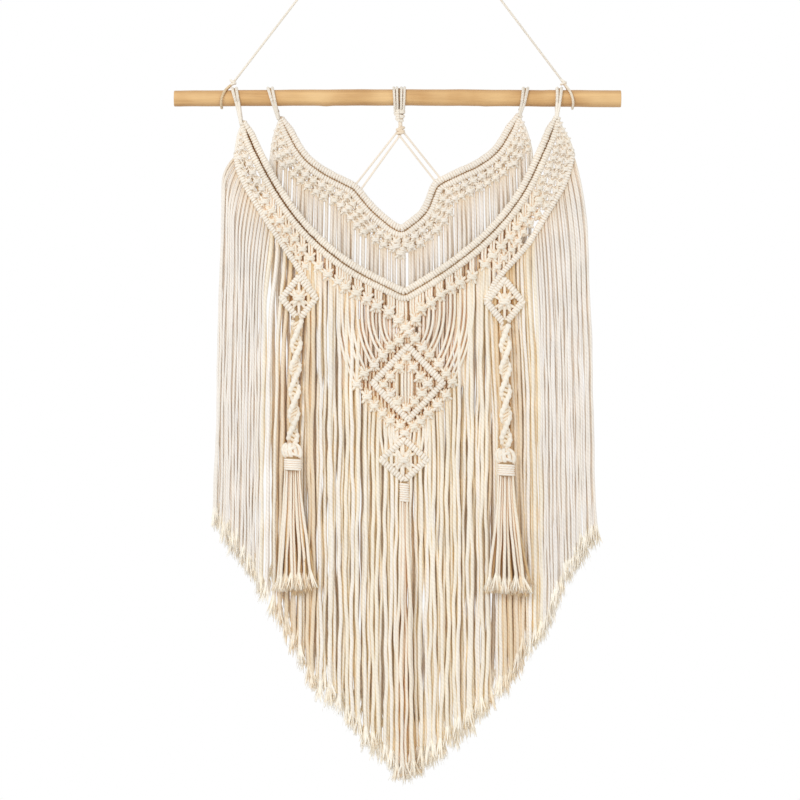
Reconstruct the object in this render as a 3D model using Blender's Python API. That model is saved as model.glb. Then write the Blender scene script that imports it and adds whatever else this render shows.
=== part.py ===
"""Macrame wall hanging: two knotted cotton panels, a bridle and three tassels on a rod with a hanging cord.

Tables are in millimetres. "across" runs left to right and "down" runs from the rod's axis towards the fringe.
"depth" is the distance behind the rod's axis, so a smaller depth is nearer the viewer.
"""

import math

import bmesh
import bpy
import numpy as np
from mathutils import Vector

MM = 0.001
GAP = 0.3

# Rod and hanging cord. Cord and strand sizes are radii.
HANGER_HEIGHT = 256.5
ROD_SIDES = 16
HANGER_CORD = 1.3
NAIL_BEND = 2.6
LOOP_CORD = 1.6
BRIDLE_CORD = 1.5
BRIDLE_NECK = 2.6
LOOP_REACH = 110
LOOP_STEPS = 8

# Depth of each layer
UPPER_DEPTH = 4.0
LOWER_DEPTH = -6.0
FRINGE_DEPTH = -3.4
BEHIND_SINNET_DEPTH = -1.6
SWOOP_DEPTH = -7.6
SINNET_DEPTH = -10.1
TASSEL_DEPTH = -12.5

# Knotwork
RIDGE_STEP = 7.3
RIDGE_HOLLOW = 0.84
OUTER_BAR = 3.9
DIAMOND_BAR = 4.2
SMALL_BAR = 3.4
KNOT_STEP = 6.6
KNOT_WIDE = 5.4
KNOT_NARROW = 3.4
KNOT_FLAT = 0.8

# Strands
STRAND = 2.0
SHORT_STRAND = 1.8
SWOOP_STRAND = 1.9
DIAMOND_TIE = 2.2
SETTLE_LENGTH = 30.0
SINNET_CLEARANCE = 34.0
ROOT_INSET = 1.5
FRAY_LENGTH = 13.0
FRAY_SPREAD = 1.6
UPPER_STRANDS = 46
LEFT_STRANDS = 16
RIGHT_STRANDS = 18
UPPER_HEM_RISE = 26.0

COTTON = (0.906, 0.831, 0.680)
SHADED_COTTON = (0.847, 0.753, 0.584)
WOOD = (0.730, 0.428, 0.156)

# Rod: across, down, radius
ROD_ROWS = (
    (-253.0, 0.6, 8.9),
    (-200.0, 0.3, 9.0),
    (-120.0, -0.3, 9.1),
    (-40.0, -0.6, 9.2),
    (0.0, -0.6, 9.1),
    (70.0, -0.4, 9.3),
    (140.0, 0.2, 9.2),
    (205.0, 0.6, 9.5),
    (247.5, 0.9, 9.5),
)

# Smooth runs of the line between the two bars of the upper panel: across, down
UPPER_RUNS = (
    ((-134, 22), (-113, 61), (-90, 82), (-52, 102)),
    ((-52, 102), (-33, 125), (-11, 144), (2, 151)),
    ((2, 151), (22, 136), (32, 124), (42, 98)),
    ((42, 98), (67, 86), (90, 75), (112, 57), (134, 19)),
)

# The same line of the lower panel: across, down
LOWER_RUNS = (
    ((-176, 27), (-160, 64), (-134, 111), (-101, 153), (-56, 190), (5, 222)),
    ((5, 222), (56, 190), (101, 153), (136, 110), (161, 60), (176, 22)),
)

# Section of the lower panel's pair of hitched bars: offset from their middle line, depth, size on a hollow ring
LOWER_SECTION = (
    (-8.4, 0.0, 0.88),
    (-6.4, -3.9, 0.84),
    (-2.4, -3.9, 0.84),
    (0.0, -1.5, 0.84),
    (2.4, -3.9, 0.84),
    (6.4, -3.9, 0.84),
    (8.4, 0.0, 0.88),
    (0.0, 3.9, 0.9),
)

# The same for the upper panel, where two rows of square knots join on below the bars
UPPER_SECTION = (
    (-8.4, 0.0, 0.88),
    (-6.4, -3.9, 0.84),
    (-2.4, -3.9, 0.84),
    (0.0, -1.5, 0.84),
    (2.4, -3.9, 0.84),
    (6.4, -3.9, 0.84),
    (8.4, -1.4, 1.0),
    (12.8, -4.6, 0.7),
    (17.0, -1.6, 1.0),
    (21.0, -3.2, 1.15),
    (24.2, 0.6, 1.1),
    (5.0, 3.9, 0.9),
)
BARS_EDGE = 8.4
KNOT_TAPER = 42.0
UPPER_ROOT_OFFSET = 19.0
EASING = 5

# Single hitched bars that the side fringes hang from: across, down
LEFT_OUTER_BAR = ((-184, 62), (-178, 87), (-160, 120), (-138, 154), (-116, 187), (-95, 221))
RIGHT_OUTER_BAR = ((194, 62), (183, 97), (165, 128), (142, 165), (113, 198), (95, 226))

# Rows of square knots in the lower panel: across, down
LEFT_NET_ROW = (
    (-181, 51), (-170, 83), (-149, 120), (-123, 152), (-103, 177),
    (-83, 196), (-50, 219), (-16, 242), (4, 256),
)
RIGHT_NET_ROW = (
    (5, 256), (16, 247), (36, 230), (57, 215), (80, 200),
    (107, 174), (123, 155), (151, 120), (172, 84), (187, 49),
)
LEFT_SECOND_ROW = ((-138, 145), (-124, 166), (-104, 191))
RIGHT_SECOND_ROW = ((106, 192), (126, 168), (141, 145))

# Diamonds: name, across, down, half width, half height, bar radius
CENTRE_DIAMOND = ("centre", 9.0, 319.0, 39.0, 41.0, DIAMOND_BAR)
LOW_DIAMOND = ("low", 4.5, 405.0, 25.5, 23.0, SMALL_BAR)
LEFT_DIAMOND = ("left", -113.0, 224.5, 19.0, 24.0, SMALL_BAR)
RIGHT_DIAMOND = ("right", 117.0, 228.5, 20.0, 25.0, SMALL_BAR)

# Upright strands inside the diamonds: diamond, places across from its centre, distance from its corners
DIAMOND_STRANDS = (
    (CENTRE_DIAMOND, (-7.0, -2.2, 2.6, 7.4), 15.0),
    (LOW_DIAMOND, (-4.0, 2.0), 3.5),
    (LEFT_DIAMOND, (0.0,), 0.0),
    (RIGHT_DIAMOND, (0.0,), 0.0),
)

# Places across of the short strands between the lower bars and the first row of knots
LATTICE_ACROSS = (-160, -135, -114, *range(-97, 0, 11), *range(16, 104, 11), 118, 138, 163)

# Knots that stand alone: across, down, half width, half height
LONE_KNOTS = (
    (5.5, 262.0, 10.0, 9.0),
    (-113.0, 224.5, 9.5, 9.5),
    (117.0, 229.0, 9.5, 9.5),
    (3.0, 404.0, 10.0, 10.0),
)

# Strands drawn in from the lower V to the diamond: across at the start, belly and end, down at the belly
LEFT_SWOOPS = (
    (-66, -67, -41, 285),
    (-57, -57, -34, 281),
    (-47, -46, -26, 276),
    (-36, -33, -18, 270),
    (-26, -22, -10, 264),
)
RIGHT_SWOOPS = (
    (79, 80, 59, 268),
    (69, 72, 51, 270),
    (58, 61, 43, 273),
    (48, 50, 35, 270),
    (38, 40, 27, 266),
)
SWOOP_PAIR = 4.2

# Lower edge of the whole fringe: across, down
HEM_ROWS = (
    (-209, 489), (-165, 548), (-121, 622), (-69, 690), (-34, 730), (8, 769),
    (41, 744), (82, 705), (119, 661), (161, 602), (185, 552), (222, 502),
)

# Strands of the middle fringe: across at the root, across at the hem
MIDDLE_STRANDS = (
    (-101, -99), (-93, -92), (-85, -85.5), (-77, -79), (-70, -72.5), (-62, -65), (-54, -57.5),
    (-39, -50), (-34, -43), (-29, -36), (-24, -29), (-18, -22), (31, 33), (37, 40), (43, 47),
    (49, 54), (55, 61), (68, 68), (74, 75), (80, 82), (88, 89), (95, 95),
)

# Loops over the rod: across at the rod and at the panel, down at the panel, depth at the panel
PANEL_LOOPS = (
    ("lower", -187.4, -179.0, 29.0, LOWER_DEPTH),
    ("lower", -182.0, -174.0, 30.0, LOWER_DEPTH),
    ("lower", 176.0, 173.0, 25.0, LOWER_DEPTH),
    ("lower", 181.4, 178.0, 25.0, LOWER_DEPTH),
    ("upper", -147.5, -136.5, 25.0, UPPER_DEPTH),
    ("upper", -142.0, -131.5, 25.0, UPPER_DEPTH),
    ("upper", 138.0, 131.0, 22.0, UPPER_DEPTH),
    ("upper", 143.5, 136.0, 22.0, UPPER_DEPTH),
)

# Knots of the bridle: across, down, half sizes across, in depth and down
BRIDLE_KNOTS = (
    (0.0, 21.0, (6.2, 5.0, 8.6)),
    (0.5, 36.5, (5.2, 4.6, 5.6)),
)
BRIDLE_TURNS = (-6.0, -2.0, 2.0, 6.0)
BRIDLE_APART = 1.9

# Lines of the bridle: side, across and down where they meet the upper panel
BRIDLE_LINES = (
    ("left", -50.5, 89.8),
    ("right", 43.5, 86.6),
)

# Sinnets: name, across at the top and bottom, down at the top and bottom, half-turns
SINNETS = (
    ("left_sinnet", -115.0, -120.0, 252.0, 387.0, 5.4),
    ("right_sinnet", 117.5, 118.5, 257.0, 393.0, 5.4),
)
SINNET_HALF_WIDTH = 7.2
SINNET_HALF_DEPTH = 4.0
SINNET_STEPS = 4
BERRY_HALF = (12.0, 8.2, 9.4)

# Tassels: name, across at the top, down at the top, wrap width, wrap height, hem left, hem right, hem down,
# depth, strands in each layer
TASSELS = (
    ("left_tassel", -119.8, 404.1, 20.0, 13.0, -143.0, -91.0, 551.0, TASSEL_DEPTH, (5, 4, 4)),
    ("right_tassel", 118.6, 410.1, 19.5, 13.0, 94.0, 150.0, 554.0, TASSEL_DEPTH, (5, 4, 4)),
    ("centre_tassel", 4.8, 431.3, 11.4, 21.0, -9.0, 22.0, 762.0, -8.0, (3, 2)),
)
WRAP_RINGS = 6
WRAP_FLAT = 0.85
TASSEL_LAYER_STEP = 4.4


def place(across, down, depth):
    """World position of a point given in the tables' own terms."""
    return Vector((across, depth, -HANGER_HEIGHT - down)) * MM


def new_collection(name):
    collection = bpy.data.collections.new(name)
    bpy.context.scene.collection.children.link(collection)
    return collection


def new_material(name, colour, roughness):
    material = bpy.data.materials.new(name)
    material.use_nodes = True
    shader = material.node_tree.nodes["Principled BSDF"]
    shader.inputs["Base Color"].default_value = (*colour, 1.0)
    shader.inputs["Roughness"].default_value = roughness
    shader.inputs["Metallic"].default_value = 0.0
    return material


def smooth_run(rows, step):
    """Points of a Catmull-Rom curve through the rows, about one step apart, as across and down."""
    rows = [np.array(row, float) for row in rows]
    guides = [2 * rows[0] - rows[1], *rows, 2 * rows[-1] - rows[-2]]
    dense = [rows[0]]
    for before, start, end, after in zip(guides, guides[1:], guides[2:], guides[3:]):
        for t in np.linspace(0, 1, 25)[1:]:
            cubic = 3 * start - before - 3 * end + after
            square = 2 * before - 5 * start + 4 * end - after
            dense.append(start + 0.5 * ((end - before) * t + square * t**2 + cubic * t**3))
    return even_steps(np.array(dense), step)


def even_steps(points, step):
    """The same line with its points an even distance apart."""
    lengths = np.concatenate([[0], np.cumsum(np.linalg.norm(np.diff(points, axis=0), axis=1))])
    count = max(2, round(lengths[-1] / step) + 1)
    wanted = np.linspace(0, lengths[-1], count)
    return np.stack([np.interp(wanted, lengths, points[:, axis]) for axis in range(points.shape[1])], axis=1)


def joined_runs(runs, step):
    """Smooth runs end to end as one line."""
    return even_steps(np.concatenate([smooth_run(rows, 2.0) for rows in runs]), step)


def directions(points, closed=False):
    """Unit direction of the line at each point."""
    if closed:
        ahead, behind = np.roll(points, -1, axis=0), np.roll(points, 1, axis=0)
        return (ahead - behind) / np.linalg.norm(ahead - behind, axis=1)[:, None]
    slopes = np.gradient(points, axis=0)
    return slopes / np.linalg.norm(slopes, axis=1)[:, None]


def beside(points, offset):
    """The line moved sideways by offset, towards the fringe."""
    along = directions(points)
    return points + np.stack([-along[:, 1], along[:, 0]], axis=1) * offset


def eased(points):
    """The line with its corners rounded by averaging neighbours."""
    for _ in range(EASING):
        points = np.concatenate([points[:1], (points[:-2] + 2 * points[1:-1] + points[2:]) / 4, points[-1:]])
    return points


def loft(mesh, rings, closed=False):
    """Adds one closed body through rings of points to the mesh."""
    loops = [[mesh.verts.new(point) for point in ring] for ring in rings]
    pairs = list(zip(loops, loops[1:] + loops[:1])) if closed else list(zip(loops, loops[1:]))
    faces = []
    for first, second in pairs:
        for i in range(len(first)):
            j = (i + 1) % len(first)
            faces.append(mesh.faces.new((first[i], first[j], second[j], second[i])))
    if not closed:
        faces.append(mesh.faces.new(loops[0][::-1]))
        faces.append(mesh.faces.new(loops[-1]))
    bmesh.ops.recalc_face_normals(mesh, faces=faces)


def bar_rings(points, along, sections, depth):
    """Rings of a bar that lies in the hanging's plane, each section square to the line at its point."""
    return [
        [place(across - turn[1] * side, down + turn[0] * side, depth + back) for side, back in section]
        for (across, down), turn, section in zip(points, along, sections)
    ]


def scaled(section, size):
    return [(side * size, back * size) for side, back in section]


def panel_sections(table, count):
    """Sections of a panel's bars, ring by ring. Every other one is hollow, and knots narrow near both ends."""
    sections = []
    for ring in range(count):
        near_end = min(ring, count - 1 - ring) * RIDGE_STEP
        share = min(1.0, 0.15 + near_end / KNOT_TAPER)
        section = []
        for side, back, hollow in table:
            size = 1.0 if ring % 2 else hollow
            knots = max(0.0, side * size - BARS_EDGE)
            section.append((side * size - knots * (1.0 - share), back * size))
        sections.append(section)
    return sections


def round_section(radius, sides, flatness=1.0, turn=0.0):
    angles = [turn + 2 * math.pi * i / sides for i in range(sides)]
    return [(radius * math.cos(angle), radius * flatness * math.sin(angle)) for angle in angles]


def ridge_sizes(count):
    """Sizes that swell at every other ring of a hitched bar."""
    return [1.0 if i % 2 else RIDGE_HOLLOW for i in range(count)]


def finish_piece(name, mesh, holder):
    """Turns the bmesh into an object in the helper collection."""
    data = bpy.data.meshes.new(name)
    mesh.to_mesh(data)
    mesh.free()
    piece = bpy.data.objects.new(name, data)
    holder.objects.link(piece)
    piece.hide_render = True
    piece.display_type = "WIRE"
    return piece


def bar_piece(name, points, section, sizes, depth, holder, closed=False):
    mesh = bmesh.new()
    sections = [scaled(section, size) for size in sizes]
    loft(mesh, bar_rings(points, directions(points, closed), sections, depth), closed)
    return finish_piece(name, mesh, holder)


def panel_bars(name, runs, table, depth, holder):
    """A panel's pair of bars as one body. The turn is eased at each corner, so that no two rings cross."""
    line = joined_runs(runs, RIDGE_STEP)
    along = directions(eased(line))
    mesh = bmesh.new()
    loft(mesh, bar_rings(line, along, panel_sections(table, len(line)), depth))
    return finish_piece(name, mesh, holder)


def knot_row(name, rows, depth, holder, wide=KNOT_WIDE):
    """A row of square knots as a bar that swells at each knot."""
    points = smooth_run(rows, KNOT_STEP)
    sizes = [wide if i % 2 else KNOT_NARROW for i in range(len(points))]
    return bar_piece(name, points, round_section(1.0, 5, KNOT_FLAT, -math.pi / 2), sizes, depth, holder)


def strand_rings(route, radius, sizes):
    """Rings of a three-sided strand along a route of across, down and depth."""
    section = round_section(radius, 3, 1.0, math.pi / 2)
    return [
        [place(across + side * size, down, depth + back * size) for side, back in section]
        for (across, down, depth), size in zip(route, sizes)
    ]


def hanging_strand(mesh, root, hem_across, hem_down, layer, number):
    """A fringe strand that leaves its root, settles into its layer, sways and ends in a frayed brush."""
    across, down, depth = root
    sway = 1.6 * math.sin(2.4 * number)
    uneven = 5.0 * math.sin(5.1 * number) + 3.0 * math.sin(1.7 * number)
    end = hem_down + uneven
    settle = min(SETTLE_LENGTH, 0.25 * (end - down))
    shift = hem_across - across
    route = (
        (across, down, depth),
        (across + 0.8 * shift + 0.5 * sway, down + settle, layer),
        (hem_across, end - FRAY_LENGTH, layer),
        (hem_across - 0.4 * sway, end, layer),
    )
    loft(mesh, strand_rings(route, STRAND, (1.0, 1.0, 1.0, FRAY_SPREAD)))


def tube(name, route, radius, holder, closed=False, fineness=0):
    """A cord as a curve with a round bevel, turned into a closed mesh."""
    curve = bpy.data.curves.new(name, "CURVE")
    curve.dimensions = "3D"
    curve.bevel_depth = radius * MM
    curve.bevel_resolution = fineness
    curve.use_fill_caps = True
    spline = curve.splines.new("POLY")
    spline.points.add(len(route) - 1)
    for point, spot in zip(spline.points, route):
        point.co = (*place(*spot), 1.0)
    spline.use_cyclic_u = closed
    source = bpy.data.objects.new(name, curve)
    holder.objects.link(source)
    bpy.context.view_layer.update()
    data = bpy.data.meshes.new_from_object(source.evaluated_get(bpy.context.evaluated_depsgraph_get()))
    bpy.data.objects.remove(source)
    mesh = bmesh.new()
    mesh.from_mesh(data)
    bpy.data.meshes.remove(data)
    bmesh.ops.remove_doubles(mesh, verts=mesh.verts, dist=0.01 * MM)
    bmesh.ops.recalc_face_normals(mesh, faces=mesh.faces)
    return finish_piece(name, mesh, holder)


def ball(name, spot, halves, holder, segments=8, rings=5):
    """A knot as a squashed sphere with half sizes across, in depth and down."""
    mesh = bmesh.new()
    bmesh.ops.create_uvsphere(mesh, u_segments=segments, v_segments=rings, radius=MM)
    bmesh.ops.scale(mesh, verts=mesh.verts, vec=Vector(halves))
    bmesh.ops.translate(mesh, verts=mesh.verts, vec=place(*spot))
    return finish_piece(name, mesh, holder)


def fuse(name, pieces, parts, material):
    """One closed body from overlapping pieces, as a node of the hanging."""
    operands = bpy.data.collections.new(name + "_pieces")
    for piece in pieces[1:]:
        operands.objects.link(piece)
    target = pieces[0]
    union = target.modifiers.new("fuse", "BOOLEAN")
    union.operation = "UNION"
    union.solver = "EXACT"
    union.operand_type = "COLLECTION"
    union.collection = operands
    bpy.context.view_layer.update()
    data = bpy.data.meshes.new_from_object(target.evaluated_get(bpy.context.evaluated_depsgraph_get()))
    for piece in pieces:
        bpy.data.objects.remove(piece)
    bpy.data.collections.remove(operands)
    return add_node(name, data, parts, material)


def add_node(name, data, parts, material):
    data.name = name
    data.materials.clear()
    data.materials.append(material)
    data.shade_smooth()
    data.set_sharp_from_angle(angle=math.radians(40))
    node = bpy.data.objects.new(name, data)
    parts.objects.link(node)
    return node


def interpolate(rows, across, column=1):
    """Value of a table's column at a place between its rows."""
    columns = list(zip(*rows))
    return float(np.interp(across, columns[0], columns[column]))


def rod_at(across):
    """Down and radius of the rod at a place along it."""
    return interpolate(ROD_ROWS, across, 1), interpolate(ROD_ROWS, across, 2)


def make_rod(parts, material):
    mesh = bmesh.new()
    rings = []
    for across, down, radius in ROD_ROWS:
        angles = [2 * math.pi * i / ROD_SIDES for i in range(ROD_SIDES)]
        rings.append([
            place(across, down + radius * math.cos(angle), radius * math.sin(angle)) for angle in angles
        ])
    loft(mesh, rings)
    data = bpy.data.meshes.new("rod")
    mesh.to_mesh(data)
    mesh.free()
    return add_node("rod", data, parts, material)


def rod_loop_route(across_rod, across_end, down_end, depth_end, cord):
    """A closed loop over the rod whose two legs meet at the panel's corner below it."""
    rod_down, rod_radius = rod_at(across_rod)
    angles = np.radians(np.linspace(-LOOP_REACH, LOOP_REACH, LOOP_STEPS))
    reach = (rod_radius + cord + GAP) / math.cos((angles[1] - angles[0]) / 2)
    route = []
    for angle in angles:
        lean = (1 - math.cos(angle)) / 2
        route.append((
            across_rod + 0.35 * lean * (across_end - across_rod),
            rod_down - reach * math.cos(angle),
            reach * math.sin(angle),
        ))
    route.append((across_end, down_end, depth_end + 0.8))
    route.append((across_end, down_end + 2.0, depth_end - 0.8))
    return route


def panel_loops(panel, holder):
    loops = []
    for index, (owner, across_rod, across_end, down_end, depth_end) in enumerate(PANEL_LOOPS):
        if owner == panel:
            route = rod_loop_route(across_rod, across_end, down_end, depth_end, LOOP_CORD)
            loops.append(tube(f"{panel}_loop_{index}", route, LOOP_CORD, holder, closed=True))
    return loops


def hanger_end(name, knot, across_top, across_bottom, holder):
    """A loop round the rod, drawn up to its knot above the rod."""
    rod_down, rod_radius = rod_at(across_top)
    angles = np.radians(np.linspace(25, 335, 12))
    reach = (rod_radius + HANGER_CORD + GAP) / math.cos((angles[1] - angles[0]) / 2)
    middle = (across_top + across_bottom) / 2
    swing = (across_top - across_bottom) / 2
    route = [
        (middle + swing * math.cos(angle), rod_down - reach * math.cos(angle), reach * math.sin(angle))
        for angle in angles
    ]
    loop = tube(name + "_loop", [knot, *route], HANGER_CORD, holder, closed=True)
    return [loop, ball(name + "_knot", knot, (3.8, 3.2, 3.6), holder)]


def make_hanger(parts, holder, material):
    left_knot = (-187.0, -16.8, 0.0)
    right_knot = (183.0, -17.4, 0.0)
    top = -HANGER_HEIGHT - HANGER_CORD
    bend = [
        (NAIL_BEND * math.sin(angle), top + NAIL_BEND * (1 - math.cos(angle)), 0.0)
        for angle in np.radians((-53, -30, 0, 30, 53))
    ]
    pieces = [tube("hanger_line", [left_knot, *bend, right_knot], HANGER_CORD, holder, fineness=1)]
    pieces += hanger_end("hanger_left", left_knot, -193.6, -199.6, holder)
    pieces += hanger_end("hanger_right", right_knot, 187.4, 193.0, holder)
    return fuse("hanger_cord", pieces, parts, material)


def make_bridle(parts, holder, material):
    """Turns over the rod, gathered by a square knot and a round knot, and a pair of lines to each side."""
    pieces = [
        ball(f"bridle_knot_{index}", (across, down, 0.0), halves, holder)
        for index, (across, down, halves) in enumerate(BRIDLE_KNOTS)
    ]
    (top_across, top_down, _), (low_across, low_down, _) = BRIDLE_KNOTS
    neck = ((low_across, top_down, 0.0), (low_across, low_down, 0.0))
    pieces.append(tube("bridle_neck", neck, BRIDLE_NECK, holder))
    for index, across in enumerate(BRIDLE_TURNS):
        route = rod_loop_route(across, top_across + 0.6 * across, top_down - 4.0, 0.0, BRIDLE_CORD)
        pieces.append(tube(f"bridle_turn_{index}", route, BRIDLE_CORD, holder, closed=True))
    for side, across, down in BRIDLE_LINES:
        for index, apart in enumerate((-BRIDLE_APART, BRIDLE_APART)):
            route = (
                (low_across + 0.6 * apart, low_down, 0.0),
                ((low_across + across) / 2 + apart, (low_down + down) / 2, UPPER_DEPTH / 2),
                (across + apart, down, UPPER_DEPTH),
            )
            pieces.append(tube(f"bridle_{side}_{index}", route, BRIDLE_CORD, holder))
    return fuse("centre_bridle", pieces, parts, material)


def make_upper_panel(parts, holder, material):
    pieces = [panel_bars("upper_bars", UPPER_RUNS, UPPER_SECTION, UPPER_DEPTH, holder)]
    pieces += panel_loops("upper", holder)
    edge = beside(eased(joined_runs(UPPER_RUNS, RIDGE_STEP)), UPPER_ROOT_OFFSET)[5:-5]
    fringe = bmesh.new()
    for number, across in enumerate(np.linspace(-142, 146, UPPER_STRANDS)):
        root_across = float(np.clip(0.985 * across, edge[0, 0], edge[-1, 0]))
        root = (root_across, np.interp(root_across, edge[:, 0], edge[:, 1]), UPPER_DEPTH)
        hem = interpolate(HEM_ROWS, across) - UPPER_HEM_RISE
        hanging_strand(fringe, root, across, hem, UPPER_DEPTH, number)
    pieces.append(finish_piece("upper_fringe", fringe, holder))
    return fuse("upper_panel", pieces, parts, material)


def diamond(name, across, down, half_width, half_height, radius, holder):
    """A closed bar round the four corners of a diamond."""
    corners = [
        (across, down - half_height),
        (across - half_width, down),
        (across, down + half_height),
        (across + half_width, down),
    ]
    points = []
    for start, end in zip(corners, corners[1:] + corners[:1]):
        start, end = np.array(start), np.array(end)
        steps = max(2, round(np.linalg.norm(end - start) / RIDGE_STEP / 2) * 2)
        points.extend(start + (end - start) * i / steps for i in range(steps))
    section = round_section(radius, 6, 0.9)
    sizes = ridge_sizes(len(points))
    return bar_piece(name + "_diamond", np.array(points), section, sizes, LOWER_DEPTH, holder, closed=True)


def outer_knot_rows(side, edge):
    """Line of the knots outside one side of the centre diamond, from its side to its top or bottom corner."""
    _, across, down, half_width, half_height, radius = CENTRE_DIAMOND
    apart = radius + 4.3
    return (
        (across + side * (half_width + 1.1 * apart), down + edge * 0.3 * apart),
        (across + side * (0.5 * half_width + 0.7 * apart), down + edge * (0.5 * half_height + 0.7 * apart)),
        (across + side * 0.6 * apart, down + edge * (half_height + apart)),
    )


def inner_knot_rows(side, edge):
    """Line of the knots inside one side of the centre diamond."""
    _, across, down, half_width, half_height, _ = CENTRE_DIAMOND
    return (
        (across + side * (half_width - 12), down + edge * 3),
        (across + side * 1, down + edge * (half_height - 11)),
    )


def diamond_knots(holder):
    """Rows of square knots outside and inside the four sides of the centre diamond."""
    _, across, down, half_width, half_height, _ = CENTRE_DIAMOND
    pieces = []
    for side in (-1, 1):
        spot = (across + side * (half_width + 13.5), down - 1.0, LOWER_DEPTH)
        pieces.append(ball(f"corner_knot_{side}", spot, (7.0, 4.3, 6.5), holder))
        for edge in (-1, 1):
            outer = outer_knot_rows(side, edge)
            pieces.append(knot_row(f"outer_knots_{side}_{edge}", outer, LOWER_DEPTH, holder))
            inner = inner_knot_rows(side, edge)
            pieces.append(knot_row(f"inner_knots_{side}_{edge}", inner, LOWER_DEPTH, holder, 4.8))
    return pieces


def swoops(mesh):
    """Pairs of strands that curve in from the lower V to the knots round the centre diamond."""
    for rows, net_row, side in ((LEFT_SWOOPS, LEFT_NET_ROW, -1), (RIGHT_SWOOPS, RIGHT_NET_ROW, 1)):
        knots = sorted(outer_knot_rows(side, -1))
        for start, belly, end, belly_down in rows:
            for index in (0, 1):
                apart = SWOOP_PAIR * (index - 0.5)
                start_down = interpolate(net_row, start + apart)
                end_across = end + 0.6 * apart
                route = (
                    (start + apart, start_down, LOWER_DEPTH),
                    (start + apart, start_down + 16.0, SWOOP_DEPTH),
                    (belly + apart, belly_down, SWOOP_DEPTH),
                    (end_across, interpolate(knots, end_across), LOWER_DEPTH),
                )
                loft(mesh, strand_rings(route, SWOOP_STRAND, (1.0, 1.0, 1.0, 1.0)))


def hanging_line():
    """Line of knots that the middle strands hang from: the net rows and the knots below the diamond."""
    left, right = sorted(outer_knot_rows(-1, 1)), sorted(outer_knot_rows(1, 1))
    net_left = [row for row in LEFT_NET_ROW if row[0] < left[0][0] - 8]
    net_right = [row for row in RIGHT_NET_ROW if row[0] > right[-1][0] + 8]
    beside_left = (left[0][0] - 8, interpolate(LEFT_NET_ROW, left[0][0] - 8))
    beside_right = (right[-1][0] + 8, interpolate(RIGHT_NET_ROW, right[-1][0] + 8))
    return (*net_left, beside_left, *left, *right, beside_right, *net_right)


def lattice(mesh):
    """Short strands between the lower bars and the first row of knots, and inside the diamonds."""
    bars = joined_runs(LOWER_RUNS, 2.0)
    knots = np.concatenate([smooth_run(LEFT_NET_ROW, 2.0), smooth_run(RIGHT_NET_ROW, 2.0)])
    for across in LATTICE_ACROSS:
        top = np.interp(across, bars[:, 0], bars[:, 1]) + 0.6 * BARS_EDGE
        bottom = np.interp(across, knots[:, 0], knots[:, 1])
        route = ((across, top, LOWER_DEPTH), (across, bottom, LOWER_DEPTH))
        loft(mesh, strand_rings(route, SHORT_STRAND, (1.0, 1.0)))
    for side in (-1, 1):
        for edge in (-1, 1):
            outer = outer_knot_rows(side, edge)[1]
            inner = np.mean(inner_knot_rows(side, edge), axis=0)
            loft(mesh, strand_rings(((*outer, LOWER_DEPTH), (*inner, LOWER_DEPTH)), DIAMOND_TIE, (1.0, 1.0)))
    for (_, centre, down, _, half_height, _), places, short in DIAMOND_STRANDS:
        for apart in places:
            route = (
                (centre + apart, down - half_height + short, LOWER_DEPTH),
                (centre + apart, down + half_height - short, LOWER_DEPTH),
            )
            loft(mesh, strand_rings(route, SHORT_STRAND, (1.0, 1.0)))


def side_fringe(mesh, rows, count, hem_first, hem_last, first_number):
    """Strands along an outer bar. Those that pass behind a sinnet lie a little deeper."""
    bar = even_steps(smooth_run(rows, 2.0), 0.5)
    for number in range(count):
        share = number / (count - 1)
        across, down = bar[round((0.02 + 0.96 * share) * (len(bar) - 1))]
        hem_across = hem_first + (hem_last - hem_first) * share
        behind = min(abs(hem_across - sinnet[1]) for sinnet in SINNETS) < SINNET_CLEARANCE
        layer = BEHIND_SINNET_DEPTH if behind else FRINGE_DEPTH
        root = (across, down, LOWER_DEPTH + ROOT_INSET)
        hem = interpolate(HEM_ROWS, hem_across)
        hanging_strand(mesh, root, hem_across, hem, layer, first_number + number)


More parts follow.
